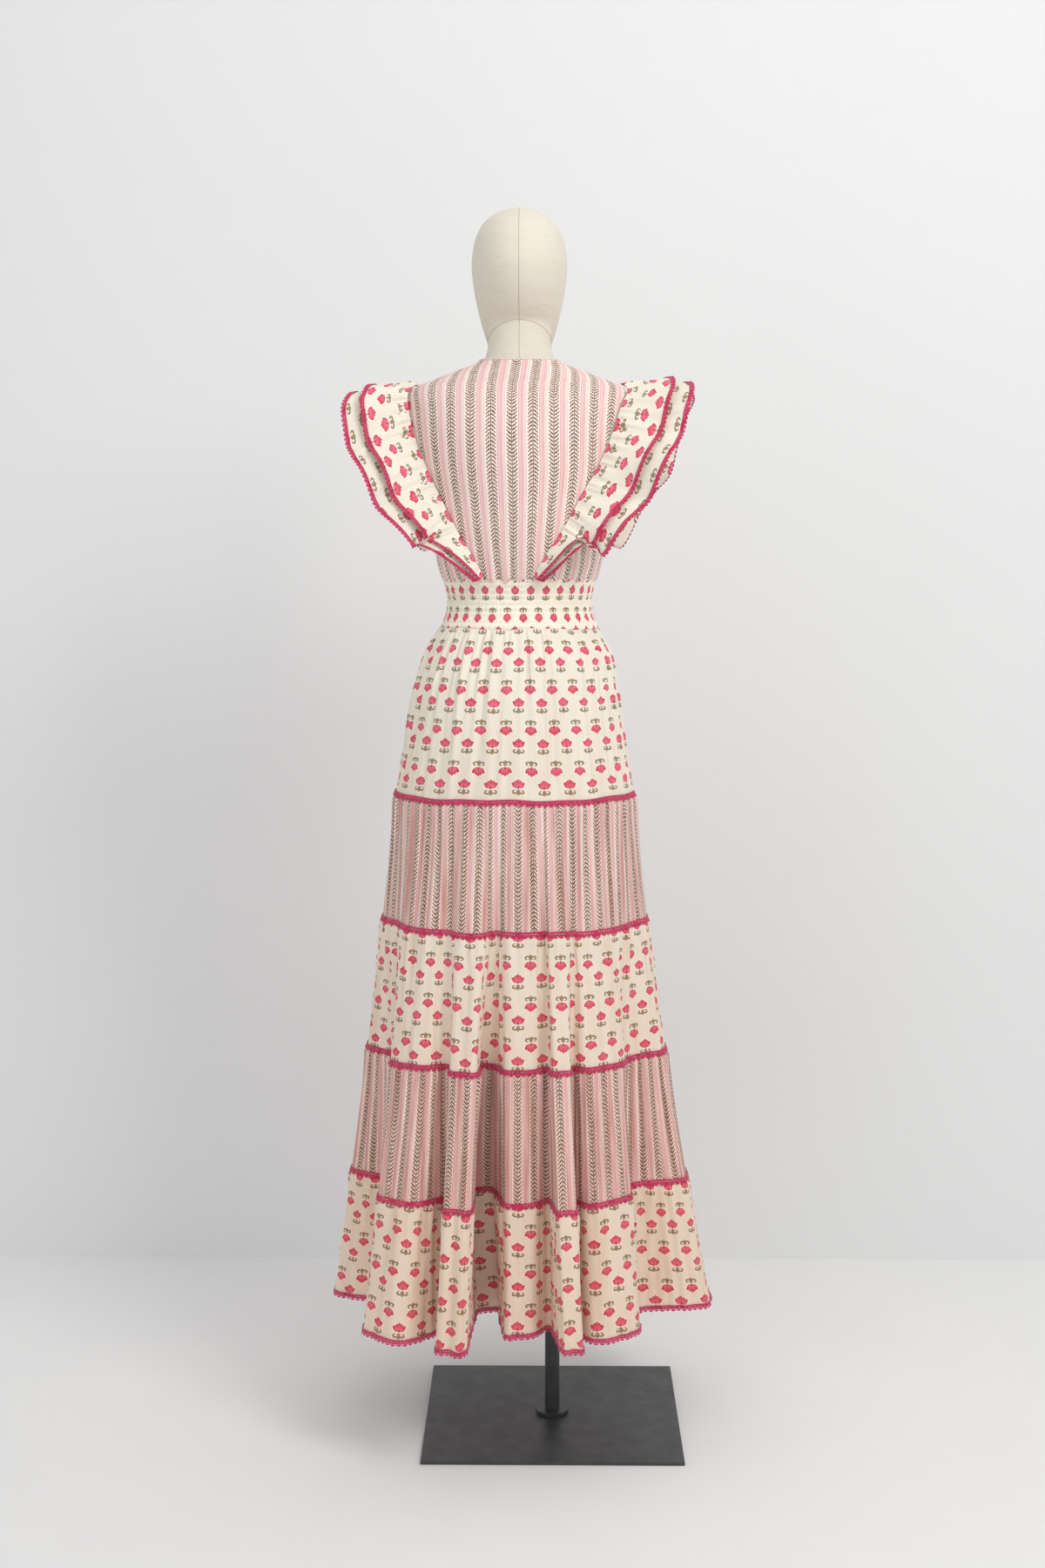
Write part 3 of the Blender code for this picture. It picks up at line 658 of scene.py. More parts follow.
class Cloth:
    """A material's node tree, with the few kinds of node that these materials use."""

    def __init__(self, name, roughness):
        self.material = bpy.data.materials.new(name)
        self.material.use_nodes = True
        self.tree = self.material.node_tree
        self.shader = self.tree.nodes["Principled BSDF"]
        self.shader.inputs["Roughness"].default_value = roughness

    def flat_mm(self):
        """The flat cloth's two directions, in millimetres."""
        source = self.tree.nodes.new("ShaderNodeUVMap")
        source.uv_map = CLOTH_MAP
        split = self.tree.nodes.new("ShaderNodeSeparateXYZ")
        self.tree.links.new(source.outputs[0], split.inputs[0])
        return (Field(self.tree, split.outputs[k]) * 1000.0 for k in range(2))

    def place_mm(self):
        """The place in space, in millimetres."""
        source = self.tree.nodes.new("ShaderNodeTexCoord")
        split = self.tree.nodes.new("ShaderNodeSeparateXYZ")
        self.tree.links.new(source.outputs["Object"], split.inputs[0])
        return (Field(self.tree, split.outputs[k]) * 1000.0 for k in range(3))

    def vector(self, x, y, z=0.0):
        made = self.tree.nodes.new("ShaderNodeCombineXYZ")
        for k, value in enumerate((x, y, z)):
            feed(self.tree, value, made.inputs[k])
        return made.outputs[0]

    def noise(self, x, y, z=0.0, scale=1.0, detail=2.0, rough=0.5):
        made = self.tree.nodes.new("ShaderNodeTexNoise")
        made.inputs["Scale"].default_value = scale
        made.inputs["Detail"].default_value = detail
        made.inputs["Roughness"].default_value = rough
        self.tree.links.new(self.vector(x, y, z), made.inputs["Vector"])
        return Field(self.tree, made.outputs["Fac"])

    def chance(self, x, y):
        """A random number for each cell."""
        made = self.tree.nodes.new("ShaderNodeTexWhiteNoise")
        made.noise_dimensions = "2D"
        self.tree.links.new(self.vector(x, y), made.inputs["Vector"])
        return Field(self.tree, made.outputs["Value"])

    def curve(self, value, points):
        """A number looked up on a curve of (0 to 1, 0 to 1) points."""
        made = self.tree.nodes.new("ShaderNodeFloatCurve")
        line = made.mapping.curves[0]
        line.points[0].location = points[0]
        line.points[1].location = points[-1]
        for x, y in points[1:-1]:
            line.points.new(x, y)
        for point in line.points:
            point.handle_type = "VECTOR"
        made.mapping.update()
        self.tree.links.new(value.socket, made.inputs["Value"])
        return Field(self.tree, made.outputs[0])

    def ramp(self, value, stops):
        made = self.tree.nodes.new("ShaderNodeValToRGB")
        elements = made.color_ramp.elements
        elements[0].position, elements[0].color = stops[0]
        elements[1].position, elements[1].color = stops[-1]
        for position, colour in stops[1:-1]:
            elements.new(position).color = colour
        self.tree.links.new(value.socket, made.inputs["Fac"])
        return made.outputs["Color"]

    def mix(self, under, over, share, blend="MIX"):
        """One colour over another: each is a socket or a linear colour."""
        made = self.tree.nodes.new("ShaderNodeMix")
        made.data_type = "RGBA"
        made.blend_type = blend
        made.clamp_factor = True
        sockets = [s for s in made.inputs if s.type == "RGBA"]
        for socket, colour in zip(sockets, (under, over)):
            if isinstance(colour, tuple):
                socket.default_value = colour
            else:
                self.tree.links.new(colour, socket)
        feed(self.tree, share, made.inputs[0])
        return next(s for s in made.outputs if s.type == "RGBA")

    def colour(self, socket):
        self.tree.links.new(socket, self.shader.inputs["Base Color"])

    def bump(self, height, distance, strength=1.0):
        made = self.tree.nodes.new("ShaderNodeBump")
        made.inputs["Strength"].default_value = strength
        made.inputs["Distance"].default_value = distance
        self.tree.links.new(height.socket, made.inputs["Height"])
        self.tree.links.new(made.outputs[0], self.shader.inputs["Normal"])

    def rough(self, value):
        self.tree.links.new(value.socket, self.shader.inputs["Roughness"])

    def finished(self, sheen, specular):
        self.shader.inputs["Sheen Weight"].default_value = sheen
        self.shader.inputs["Specular IOR Level"].default_value = specular
        return self.material


CREAM = linear(243, 236, 222)
CREAM_SHADE = linear(237, 228, 211)
HALO = linear(251, 250, 240)
# Painted light: the smocked band's ground is mixed towards this to offset the shade of its smocking
PAINTED_LIGHT_CREAM = linear(255, 247, 230)
# Painted warm shade, multiplied in more the lower the skirt hangs
WARM_LOW_SHADE = linear(252, 237, 230)
PETAL = linear(216, 50, 76)
PETAL_TIP = linear(198, 34, 60)
PETAL_LIGHT = linear(241, 122, 148)
PETAL_DARK = linear(110, 16, 40)
OLIVE = linear(148, 124, 84)
IVORY = linear(251, 240, 230)
BLUSH = linear(243, 203, 205)
STEM = linear(104, 78, 56)
LEAF = linear(82, 50, 36)
BERRY = linear(132, 26, 36)
ROSE = linear(214, 100, 125)
PALE_ROSE = linear(232, 165, 176)
GREY_GREEN = linear(176, 176, 160)
VINE_GROUND = linear(238, 214, 198)

# The flower's outline round its middle: degrees from straight up, radius in millimetres
FLOWER_OUTLINE = (
    (0, 8.7), (9, 7.3), (19, 6.3), (28, 6.9), (36, 7.7), (47, 6.8), (60, 7.1), (69, 8.8),
    (78, 10.6), (86, 9.7), (95, 9.3), (112, 8.6), (133, 7.6), (157, 6.4), (180, 5.9),
)


def voile(cloth, u, v, printed, fine, painted_gather_shade, share):
    """Printed voile: painted shade in random streaks down the skirt, standing for the shade of its
    gathers, a painted warm shade that deepens the lower it hangs, and its threads, crinkle and
    creases as a height."""
    _, _, z = cloth.place_mm()
    below = SKIRT_TOP_MM - z
    # Painted shade: random vertical streaks darken the skirt's print where the gathers' shade would
    # fall
    lines = cloth.noise(u * fine, v * 0.0035, 17.0, detail=3.0, rough=0.6)
    in_skirt = (below / 260.0).node("MULTIPLY", 1.0, clamp=True)
    printed = cloth.mix(printed, painted_gather_shade, lines.under(0.46, 0.12) * in_skirt * share, "MULTIPLY")
    # Painted warm shade: the print darkens and warms the lower it hangs
    low = (below / 900.0).node("MULTIPLY", 1.0, clamp=True)
    cloth.colour(cloth.mix(printed, WARM_LOW_SHADE, low, "MULTIPLY"))
    across = cloth.noise(u * 4.2, v * 0.5, scale=1.0, detail=1.0)
    down = cloth.noise(u * 0.5, v * 4.2, scale=1.0, detail=1.0)
    crinkle = cloth.noise(u * 0.16, v * 0.035, scale=1.0, detail=3.0, rough=0.6)
    creases = abs(cloth.noise(u * 0.05, v * 0.03, 9.0, detail=3.0) - 0.5)
    height = across * 0.10 + down * 0.10 + crinkle * 1.5 + creases * 2.0
    cloth.bump(height, 0.0009, 0.55)
    return cloth.finished(0.12, 0.25)


def floral_material(name, painted_light=0.0):
    """Rows of one small lotus over a pair of curled leaves, upright and upside down in turn."""
    cloth = Cloth(name, 0.85)
    u, v = cloth.flat_mm()
    place = (v + MOTIF_FOOT).modulo(MOTIF_REPEAT)
    row = ((v + MOTIF_FOOT) / MOTIF_REPEAT).floor()
    turned = place.node("GREATER_THAN", UPRIGHT_TALL)
    level = place - MOTIF_FOOT
    shifted = u - turned * (MOTIF_PITCH / 2.0)
    column = (shifted / MOTIF_PITCH + 0.5).floor()
    luck = cloth.chance(column + turned * 0.5, row)
    other_luck = cloth.chance(column + 31.0, row * 1.7 + turned)
    edge = cloth.noise(u, v, scale=0.9, detail=2.0) - 0.5
    x = (shifted - column * MOTIF_PITCH + (luck - 0.5) * 0.9) / MOTIF_STRETCH
    y = level + turned * (INVERTED_RISE - level * 2.0) + (other_luck - 0.5) * 0.9
    side = abs(x)
    angle = side.node("ARCTAN2", y) / math.pi
    reach = (x.squared() + y.squared()).root()
    points = [(d / 180.0, r / 12.0) for d, r in FLOWER_OUTLINE]
    outline = cloth.curve(angle, points) * 12.0
    gap = reach - outline + edge * 0.8
    flower = gap.under(0.0, 0.35)
    around_flower = gap.under(1.5, 0.5)
    base = (x.squared() + (y + 6.0).squared()).root()
    light = base.under(6.2, 3.6)
    heart = abs((x.squared() * 3.2 + (y + 0.6).squared()).root() - 5.6)
    petal_line = heart.under(0.55, 0.35) * base.under(10.5, 2.0)
    outer_line = abs(y - side * 0.42 + 0.2).under(0.45, 0.35) * side.under(8.0, 1.0) * 0.5
    seed = ((x * 1.7).squared() + (y + 3.9).squared()).root().under(1.7, 0.4)
    round_leaf = (((side - 4.6) / 1.30).squared() + (y + 10.4 + side * 0.08).squared()).root()
    curl = abs(round_leaf - 2.55 + edge * 1.5)
    thick = abs(y + 8.8 - side * 0.25).least(5.0) * 0.12 + 0.74 + edge * 0.9
    opened = 1.0 - (side - 3.6).squared().under(2.2, 0.8) * (-8.9 - y).under(0.0, 0.5) * 0.9
    stalk = side.under(0.85, 0.3) * abs(y + 10.6).under(4.2, 0.4)
    bud = (x.squared() * 0.50 + ((y + 14.0) * 0.85).squared()).root().under(1.7, 0.4)
    leaves = (curl.under(thick, 0.35) * opened).most(stalk).most(bud)
    around_leaves = curl.under(2.2, 0.6).most(bud)
    mottle = cloth.noise(u, v, scale=0.022, detail=3.0)
    ground = cloth.mix(CREAM, CREAM_SHADE, mottle.under(0.5, 0.35) * 0.55)
    ground = cloth.mix(ground, HALO, around_flower.most(around_leaves) * 0.85)
    # Painted light: a share of lighter ground, given only for the smocked band, against the shade
    # of its smocking
    ground = cloth.mix(ground, PAINTED_LIGHT_CREAM, painted_light)
    patchy = cloth.noise(u, v, 7.0, scale=0.55, detail=2.0)
    petals = cloth.mix(PETAL, PETAL_TIP, reach.under(7.4, 2.2) * -1.0 + 1.0)
    petals = cloth.mix(petals, PETAL_LIGHT, light * 0.85)
    petals = cloth.mix(petals, PETAL_LIGHT, petal_line.most(outer_line) * 0.6)
    petals = cloth.mix(petals, PETAL_LIGHT, luck * 0.28)
    petals = cloth.mix(petals, PETAL_DARK, seed)
    printed = cloth.mix(ground, OLIVE, leaves * (patchy * 0.9 + 0.48))
    printed = cloth.mix(printed, petals, flower * (patchy * 0.2 + 0.86))
    # The last colour and share are the painted shade of the gathers
    return voile(cloth, u, v, printed, 0.030, linear(238, 223, 206), 0.50)


# The stripes between two vines: millimetres from the vine's stem, and the colour from there on
STRIPES = (
    (9.3, ROSE), (10.5, BLUSH), (11.5, PALE_ROSE), (12.6, BLUSH), (13.4, ROSE), (14.2, PALE_ROSE),
    (15.3, BLUSH), (16.0, ROSE), (17.0, BLUSH), (17.9, IVORY), (18.8, GREY_GREEN), (19.5, IVORY),
    (20.3, PALE_ROSE), (21.4, IVORY),
)


def stripe_material(name):
    """Leafy vines, up and down in turn, with fine pink stripes between them."""
    cloth = Cloth(name, 0.85)
    u, v = cloth.flat_mm()
    column = (u / VINE_PITCH + 0.5).floor()
    odd = column.modulo(2.0)
    edge = cloth.noise(u, v, scale=1.3, detail=2.0) - 0.5
    x = u - column * VINE_PITCH + edge * 0.9
    y = v + odd * (LEAF_PITCH * 0.5 - v * 2.0)
    side = abs(x)
    lean = y - side * 0.70 + (cloth.noise(u, v, 11.0, scale=0.25) - 0.5) * 2.6
    leaf_row = (lean / LEAF_PITCH + 0.5).floor()
    off = abs(lean - leaf_row * LEAF_PITCH + edge * 0.8)
    share = ((side - 0.7) / 5.0).node("MULTIPLY", 1.0, clamp=True)
    inked = cloth.noise(u, v, 23.0, scale=0.11, detail=2.0)
    plump = (share * (1.0 - share) * 4.0).root() * (inked * 1.4 + 0.72)
    leaves = off.under(plump, 0.28) * side.under(5.7, 0.3)
    berry_off = abs((lean + 2.1).modulo(LEAF_PITCH) - LEAF_PITCH / 2.0)
    berries = ((side - 6.5).squared() + berry_off.squared()).root().under(1.35, 0.3)
    stem = side.under(0.7, 0.25)
    right = u.modulo(VINE_PITCH)
    streak = cloth.noise(u * 2.6, v * 0.11, scale=1.0, detail=3.0, rough=0.65)
    shift = right + (cloth.noise(u * 0.2, v * 0.05) - 0.5) * 0.8
    stops = [(0.0, IVORY)]
    for start, colour in STRIPES:
        stops.append(((start - 0.12) / VINE_PITCH, stops[-1][1]))
        stops.append(((start + 0.12) / VINE_PITCH, colour))
    lines = cloth.ramp(shift / VINE_PITCH, stops)
    faded = cloth.mix(IVORY, lines, streak * 0.8 + 0.40)
    mottle = cloth.noise(u, v, 3.0, scale=0.02, detail=3.0)
    faded = cloth.mix(faded, linear(246, 232, 220), mottle.under(0.5, 0.35) * 0.35)
    patchy = cloth.noise(u, v, 5.0, scale=0.7, detail=2.0)
    printed = cloth.mix(faded, VINE_GROUND, side.under(6.6, 0.8) * 0.55)
    printed = cloth.mix(printed, STEM, stem * (patchy * 0.4 + 0.65))
    printed = cloth.mix(printed, LEAF, leaves * (patchy * 0.6 + 0.66))
    printed = cloth.mix(printed, BERRY, berries * 0.95)
    # The last colour and share are the painted shade of the gathers
    return voile(cloth, u, v, printed, 0.085, linear(206, 168, 156), 0.80)


def lace_material():
    cloth = Cloth("pink_crochet", 0.8)
    x, y, z = cloth.place_mm()
    tone = cloth.noise(x, y, z, scale=0.05, detail=2.0)
    fine = cloth.noise(x, y, z, scale=1.6, detail=2.0)
    shade = cloth.mix(linear(224, 66, 116), linear(202, 44, 92), tone.under(0.5, 0.25))
    cloth.colour(cloth.mix(shade, linear(172, 26, 70), fine.under(0.42, 0.1) * 0.5))
    cloth.bump(fine, 0.0006, 0.7)
    return cloth.finished(0.2, 0.2)


def linen_material():
    cloth = Cloth("linen_cover", 0.9)
    x, y, z = cloth.place_mm()
    warp = cloth.noise(x * 1.9, y * 1.9, z * 0.10, scale=1.0, detail=2.0)
    weft = cloth.noise(x * 0.10, y * 0.10, z * 2.1, scale=1.0, detail=2.0)
    slub = cloth.noise(x * 0.05, y * 0.05, z * 1.1, scale=1.0, detail=1.0)
    fleck = cloth.noise(x, y, z, scale=0.9, detail=2.0)
    broad = cloth.noise(x, y, z, scale=0.012, detail=2.0)
    ground = cloth.mix(linear(236, 229, 216), linear(225, 216, 200), (warp + weft) * 0.5)
    ground = cloth.mix(ground, linear(196, 180, 154), slub.under(0.36, 0.05) * 0.30)
    ground = cloth.mix(ground, linear(170, 150, 122), fleck.under(0.27, 0.04) * 0.35)
    cloth.colour(cloth.mix(ground, linear(233, 225, 208), broad * 0.5))
    cloth.bump(warp + weft, 0.0005, 0.6)
    return cloth.finished(0.15, 0.2)


def steel_material():
    cloth = Cloth("black_coat", 0.34)
    x, y, z = cloth.place_mm()
    orange_peel = cloth.noise(x, y, z, scale=0.9, detail=2.0)
    dust = cloth.noise(x, y, z, scale=0.03, detail=5.0, rough=0.65)
    scuff = cloth.noise(x * 0.3, y * 0.02, z * 0.1, scale=1.0, detail=3.0)
    ground = cloth.mix(linear(58, 59, 61), linear(90, 90, 92), dust.under(0.42, 0.2) * 0.35)
    cloth.colour(cloth.mix(ground, linear(92, 92, 92), scuff.under(0.28, 0.03) * 0.35))
    cloth.rough(dust * 0.22 + 0.30)
    cloth.bump(orange_peel, 0.0002, 0.35)
    return cloth.finished(0.0, 0.5)


def thread_material(name, colour):
    cloth = Cloth(name, 0.8)
    x, y, z = cloth.place_mm()
    ply = cloth.noise(x, y, z, scale=2.2, detail=1.0)
    darker = tuple(c * 0.72 for c in colour[:3]) + (1.0,)
    cloth.colour(cloth.mix(colour, darker, ply))
    cloth.bump(ply, 0.0003, 0.5)
    return cloth.finished(0.0, 0.5)


# The skirt's tiers

# Each tier's gathers: how many, narrowest and widest half width, shortest and longest, and depth
TIER_GATHERS = (
    (86, 0.0026, 0.0080, 0.060, 0.250, 0.0050),
    (150, 0.0024, 0.0058, 0.030, 0.160, 0.0028),
    (116, 0.0030, 0.0090, 0.050, 0.190, 0.0050),
    (160, 0.0028, 0.0070, 0.035, 0.170, 0.0032),
    (140, 0.0036, 0.0100, 0.050, 0.200, 0.0050),
)
# Each tier's print: slack of the cloth over its foot's length, rise of the first upright row
TIER_PRINT = ((1.01, 0.0260), (1.28, 0.0), (1.07, 0.0150), (1.18, 0.0), (1.03, 0.0200))
GATHER_WAVE = 0.00048
TIER_PUFF = 0.0032
# The crochet's lowest and highest level, from the seam or the hem
SEAM_TRIM_SPAN = (-0.0095, 0.0025)
HEM_TRIM_SPAN = (-0.0020, 0.0085)


def even_places(height, count):
    """Places that lie evenly along the skirt's ring at a height, starting at the left side."""
    fine = np.linspace(0.0, len(FOLDS), 8001)[:-1]
    ring = skirt_points(fine, [height])[0]
    arc = ring_arc(ring)
    wanted = np.linspace(0.0, arc[-1], count, endpoint=False)
    return np.interp(wanted, arc, np.append(fine, len(FOLDS)))


class Tier:
    """One tier's places, its gathers and its face."""

    def __init__(self, index):
        self.index = index
        self.top, self.foot = TIER_Z[index], TIER_Z[index + 1]
        self.tall = self.top - self.foot
        self.places = even_places(self.foot + 0.3 * self.tall, TIER_COLUMNS)
        foot_ring = skirt_points(self.places, [self.foot])[0]
        arc = ring_arc(foot_ring)
        slack = TIER_PRINT[index][0]
        pitch = VINE_PITCH if index % 2 else MOTIF_PITCH
        whole = 2 if index % 2 else 1
        repeats = whole * round(arc[-1] * slack / (pitch / 1000.0) / whole)
        self.flat_width = repeats * pitch / 1000.0
        self.along = arc / arc[-1] * self.flat_width
        rng = np.random.default_rng(40 + index)
        count, narrow, wide, short, long, deep = TIER_GATHERS[index]
        steps = rng.uniform(0.45, 1.55, count)
        self.at = (np.cumsum(steps) / steps.sum()) * self.flat_width
        self.half = rng.uniform(narrow, wide, count) * self.flat_width / arc[-1] * 1.1
        self.long = short + (long - short) * rng.beta(1.3, 2.0, count)
        self.deep = deep * rng.uniform(0.45, 1.25, count)
        self.lean = rng.normal(0.0, 0.05, count)
        self.waves = [
            (k, rng.uniform(0.4, 1.0), rng.uniform(0, 2 * math.pi), rng.normal(0.0, 9.0))
            for k in rng.integers(self.flat_width / 0.050, self.flat_width / 0.016, 12)
        ]

    def gathers(self, drops):
        """How far the gathers stand out, a row for each drop below the seam."""
        u = self.along[:-1]
        total = self.flat_width
        out = np.zeros((len(drops), len(u)))
        for row, drop in enumerate(drops):
            d = max(0.0, drop)
            centre = self.at + self.lean * d
            off = (u[None, :] - centre[:, None] + total / 2) % total - total / 2
            half = self.half * (0.75 + 1.1 * d / self.long)
            rise = 0.22 + 0.78 * min(1.0, d / 0.014)
            height = self.deep * rise * np.exp(-((d / self.long) ** 1.6))
            out[row] = (height[:, None] * np.exp(-((off / half[:, None]) ** 2))).sum(axis=0)
            fade = min(1.0, d / 0.02)
            for waves, share, phase, drift in self.waves:
                out[row] += GATHER_WAVE * share * fade * np.sin(
                    2 * math.pi * waves * u / total + phase + drift * d
                )
            out[row] -= out[row].mean()
            if self.index < 4:
                end = min(1.0, max(0.0, (self.tall - d) / 0.025))
                out[row] *= 0.3 + 0.7 * end
        return out

    def face(self, heights):
        """The tier's outer face at each height."""
        grid = skirt_points(self.places, heights)
        normals = level_normals(grid)
        steps = np.linalg.norm(np.roll(grid, -1, axis=1) - grid, axis=2)
        bend = np.linalg.norm(np.roll(normals, -3, axis=1) - np.roll(normals, 3, axis=1), axis=2)
        bend = bend / (6 * np.maximum(steps, 1e-5))
        room = 1.0 / (1.0 + (bend * 0.022) ** 2)
        drops = [self.top - z for z in heights]
        swell = TIER_PUFF if self.index else 0.0
        puff = np.array([swell * bulge(d) for d in drops])
        out = self.gathers(drops) * room + puff[:, None] * room
        grid = grid + normals * out[..., None]
        grid[..., 2] += seam_wander(grid, self.top) * np.array(
            [max(0.0, 1.0 - d / self.tall) for d in drops]
        )[:, None]
        grid[..., 2] += seam_wander(grid, self.foot) * np.array(
            [min(1.0, max(0.0, d / self.tall)) for d in drops]
        )[:, None]
        return grid


def bulge(drop):
    """How a tier swells just under its seam."""
    return max(0.0, min(1.0, drop / 0.012)) * math.exp(-max(0.0, drop - 0.012) / 0.045)


def seam_wander(grid, height):
    """A little unevenness in a seam's height, the same for the two tiers that meet there."""
    a = np.arctan2(grid[..., 0] - AXIS_X, -grid[..., 1])
    return 0.0011 * np.sin(5 * a + height * 40) + 0.0007 * np.sin(13 * a + height * 90)


def build_skirt(prints, lace):
    for index in range(5):
        tier = Tier(index)
        foot = tier.foot if index < 4 else HEM_Z + 0.0035
        share = np.linspace(0.0, 1.0, TIER_ROWS)
        heights = tier.top - (tier.top - foot) * (0.35 * share + 0.65 * share**1.6)[::-1]
        grid = tier.face(heights)
        rise = np.linalg.norm(np.diff(grid, axis=0), axis=2).mean(axis=1)
        up = np.concatenate([[0.0], np.cumsum(rise)]) + (foot - tier.foot)
        centre_back = np.argmin(np.where(grid[0, :, 1] < 0, abs(grid[0, :, 0] - AXIS_X), 9.0))
        u = tier.along - tier.along[centre_back]
        v = up[:, None] - TIER_PRINT[index][1]
        flat = np.stack(np.broadcast_arrays(u[None, :], v), axis=-1)
        if index == 4:
            flat[..., 1] += 0.006 * np.sin(u / tier.flat_width * 14 * math.pi)[None, :]
        mesh = grid_mesh(f"tier_{index + 1}", grid, flat, True)
        piece = new_piece(
            f"tier_{index + 1}", mesh, prints[index % 2], [f"skirt_tier_{index + 1}"]
        )
        if index:
            name, node = f"crochet_{index}", f"lace_seam_{index}"
            lay_tier_trim(tier, name, node, tier.top, SEAM_TRIM_SPAN, lace)
        if index == 4:
            lay_tier_trim(tier, "crochet_hem", "lace_hem", HEM_Z, HEM_TRIM_SPAN, lace)


def lay_tier_trim(tier, name, node, level, span, lace):
    grid = tier.face(np.linspace(level + span[0], level + span[1], 7))
    mesh = lay_trim(name, grid, level_normals(grid), True, LACE_PITCH, LACE_HEIGHT)
    return new_piece(name, mesh, lace, [node])


# The smocked waistband

def build_waistband(material):
    columns = BAND_PLEATS * 4
    rows = 58
    foot, top = TIER_Z[0] - 0.001, BAND_TOP_Z + 0.0035
    heights = np.linspace(foot, top, rows)
    degrees = np.arange(columns) * 360.0 / columns
    level = heights[:, None]
    half, back, front = np.moveaxis(curve_at(BAND_SECTIONS, level), -1, 0)
    grid = oval(degrees, level, half, half, back, front)
    share = (heights - TIER_Z[0]) / (BAND_TOP_Z - TIER_Z[0]) * BAND_PUFFS
    puff = np.abs(np.sin(math.pi * share)) ** 0.75
    frill = np.clip((heights - BAND_TOP_Z + 0.001) / 0.004, 0.0, 1.0)
    rng = np.random.default_rng(7)
    turn = np.arange(columns) / columns
    wobble = sum(
        rng.uniform(0.2, 0.5) * np.sin(2 * math.pi * (k * turn + rng.uniform()))
        for k in (9, 17, 31, 53)
    )
    row_shift = np.repeat(rng.uniform(-0.3, 0.3, rows // 4 + 1), 4)[:rows]
    phase = math.pi * (BAND_PLEATS * turn[None, :] + wobble[None, :] + row_shift[:, None] * 0.6)
    pleat = np.abs(np.sin(phase)) ** 0.7
    size = 0.6 + 0.4 * np.sin(2 * math.pi * 23 * turn + 1.0) * np.sin(2 * math.pi * 41 * turn)
    out = 0.0013 * puff[:, None] * (0.55 + 0.45 * pleat)
    out += 0.0017 * (pleat - 0.5) * (0.35 + 0.65 * puff[:, None]) * (0.4 + 0.6 * size[None, :])
    out += frill[:, None] * (0.0008 + 0.0014 * (pleat - 0.4) * size[None, :])
    grid = grid + level_normals(grid) * out[..., None]
    grid[-1, :, 2] += 0.0010 * (pleat[-1] - 0.5)
    width = BAND_REPEATS * MOTIF_PITCH / 1000.0
    u = np.linspace(0.0, width, columns + 1) + 0.010
    flat = np.stack(np.broadcast_arrays(u[None, :], level - 1.3150), axis=-1)
    mesh = grid_mesh("smocked_band", grid, flat, True)
    piece = new_piece("smocked_band", mesh, material, ["waistband"])


# The bodice

def bodice_fall(heights):
    """How much wider the flat cloth is than the bodice where its foot is gathered in."""
    return 1.0 + 0.30 * np.clip((1.500 - heights) / 0.170, 0.0, 1.0) ** 1.3


def bodice_piece(name, node, low, high, levels, columns, cloths, phase, free_edge=None):
    """One panel between two angles at each level, each an array over the levels. Free_edge gives
    the line of its grid that has a rolled binding."""
    material, binding = cloths
    share = np.linspace(0.0, 1.0, columns)
    degrees = low[:, None] + (high - low)[:, None] * share[None, :]
    heights = np.broadcast_to(levels[:, None], degrees.shape)
    grid = bodice_point(degrees, heights)
    rng = np.random.default_rng(len(name) + int(1000 * abs(phase)))
    sway = np.zeros_like(degrees)
    near_foot = np.clip((1.430 - levels) / 0.100, 0.0, 1.0)[:, None] ** 1.3
    for k in range(14):
        period = rng.uniform(4.0, 13.0)
        sway += np.sin(degrees / period * 2 * math.pi + rng.uniform(0, 6.28)) / 14 * 2.4
    grid = grid + grid_normals(grid, False) * (sway * near_foot * 0.0016)[..., None]
    nearest = np.argmin(abs(degrees - phase), axis=1)
    steps = np.linalg.norm(np.diff(grid[..., :2], axis=1), axis=2)
    arc = np.concatenate([np.zeros((len(levels), 1)), np.cumsum(steps, axis=1)], axis=1)
    every = np.arange(len(levels))
    below = np.radians(degrees[every, nearest] - phase)
    from_axis = np.linalg.norm(grid[every, nearest, :2] - [AXIS_X, 0.0], axis=1)
    start = arc[every, nearest] - below * from_axis
    u = (arc - start[:, None]) * bodice_fall(levels)[:, None]
    rise = np.linalg.norm(np.diff(grid, axis=0), axis=2).mean(axis=1)
    v = np.concatenate([[0.0], np.cumsum(rise)])
    flat = np.stack(np.broadcast_arrays(u, v[:, None]), axis=-1)
    mesh = grid_mesh(name, grid, flat, False)
    piece = new_piece(name, mesh, material, [node])
    size = (float(np.ptp(u)), float(v[-1]))
    cut = float((np.ptp(u, axis=1)[:-1] * np.diff(v)).sum())
    cut = min(size[0] * size[1], max(0.31 * size[0] * size[1], cut))
    if free_edge:
        mesh = tube_mesh(f"{name}_binding", free_edge(grid), BINDING_RADIUS)
        new_piece(f"{name}_binding", mesh, binding)


def front_edge(heights):
    share = np.clip((heights - V_NECK_Z) / (FRONT_NECK_TOP_Z - V_NECK_Z), 0.0, 1.0)
    half = curve_at(FORM_SECTIONS, heights)[..., 0]
    opened = 180.0 - np.degrees(np.arcsin(np.minimum(0.98, V_NECK_HALF_WIDTH * share / half)))
    return np.where(heights <= V_NECK_Z, 180.0, opened)


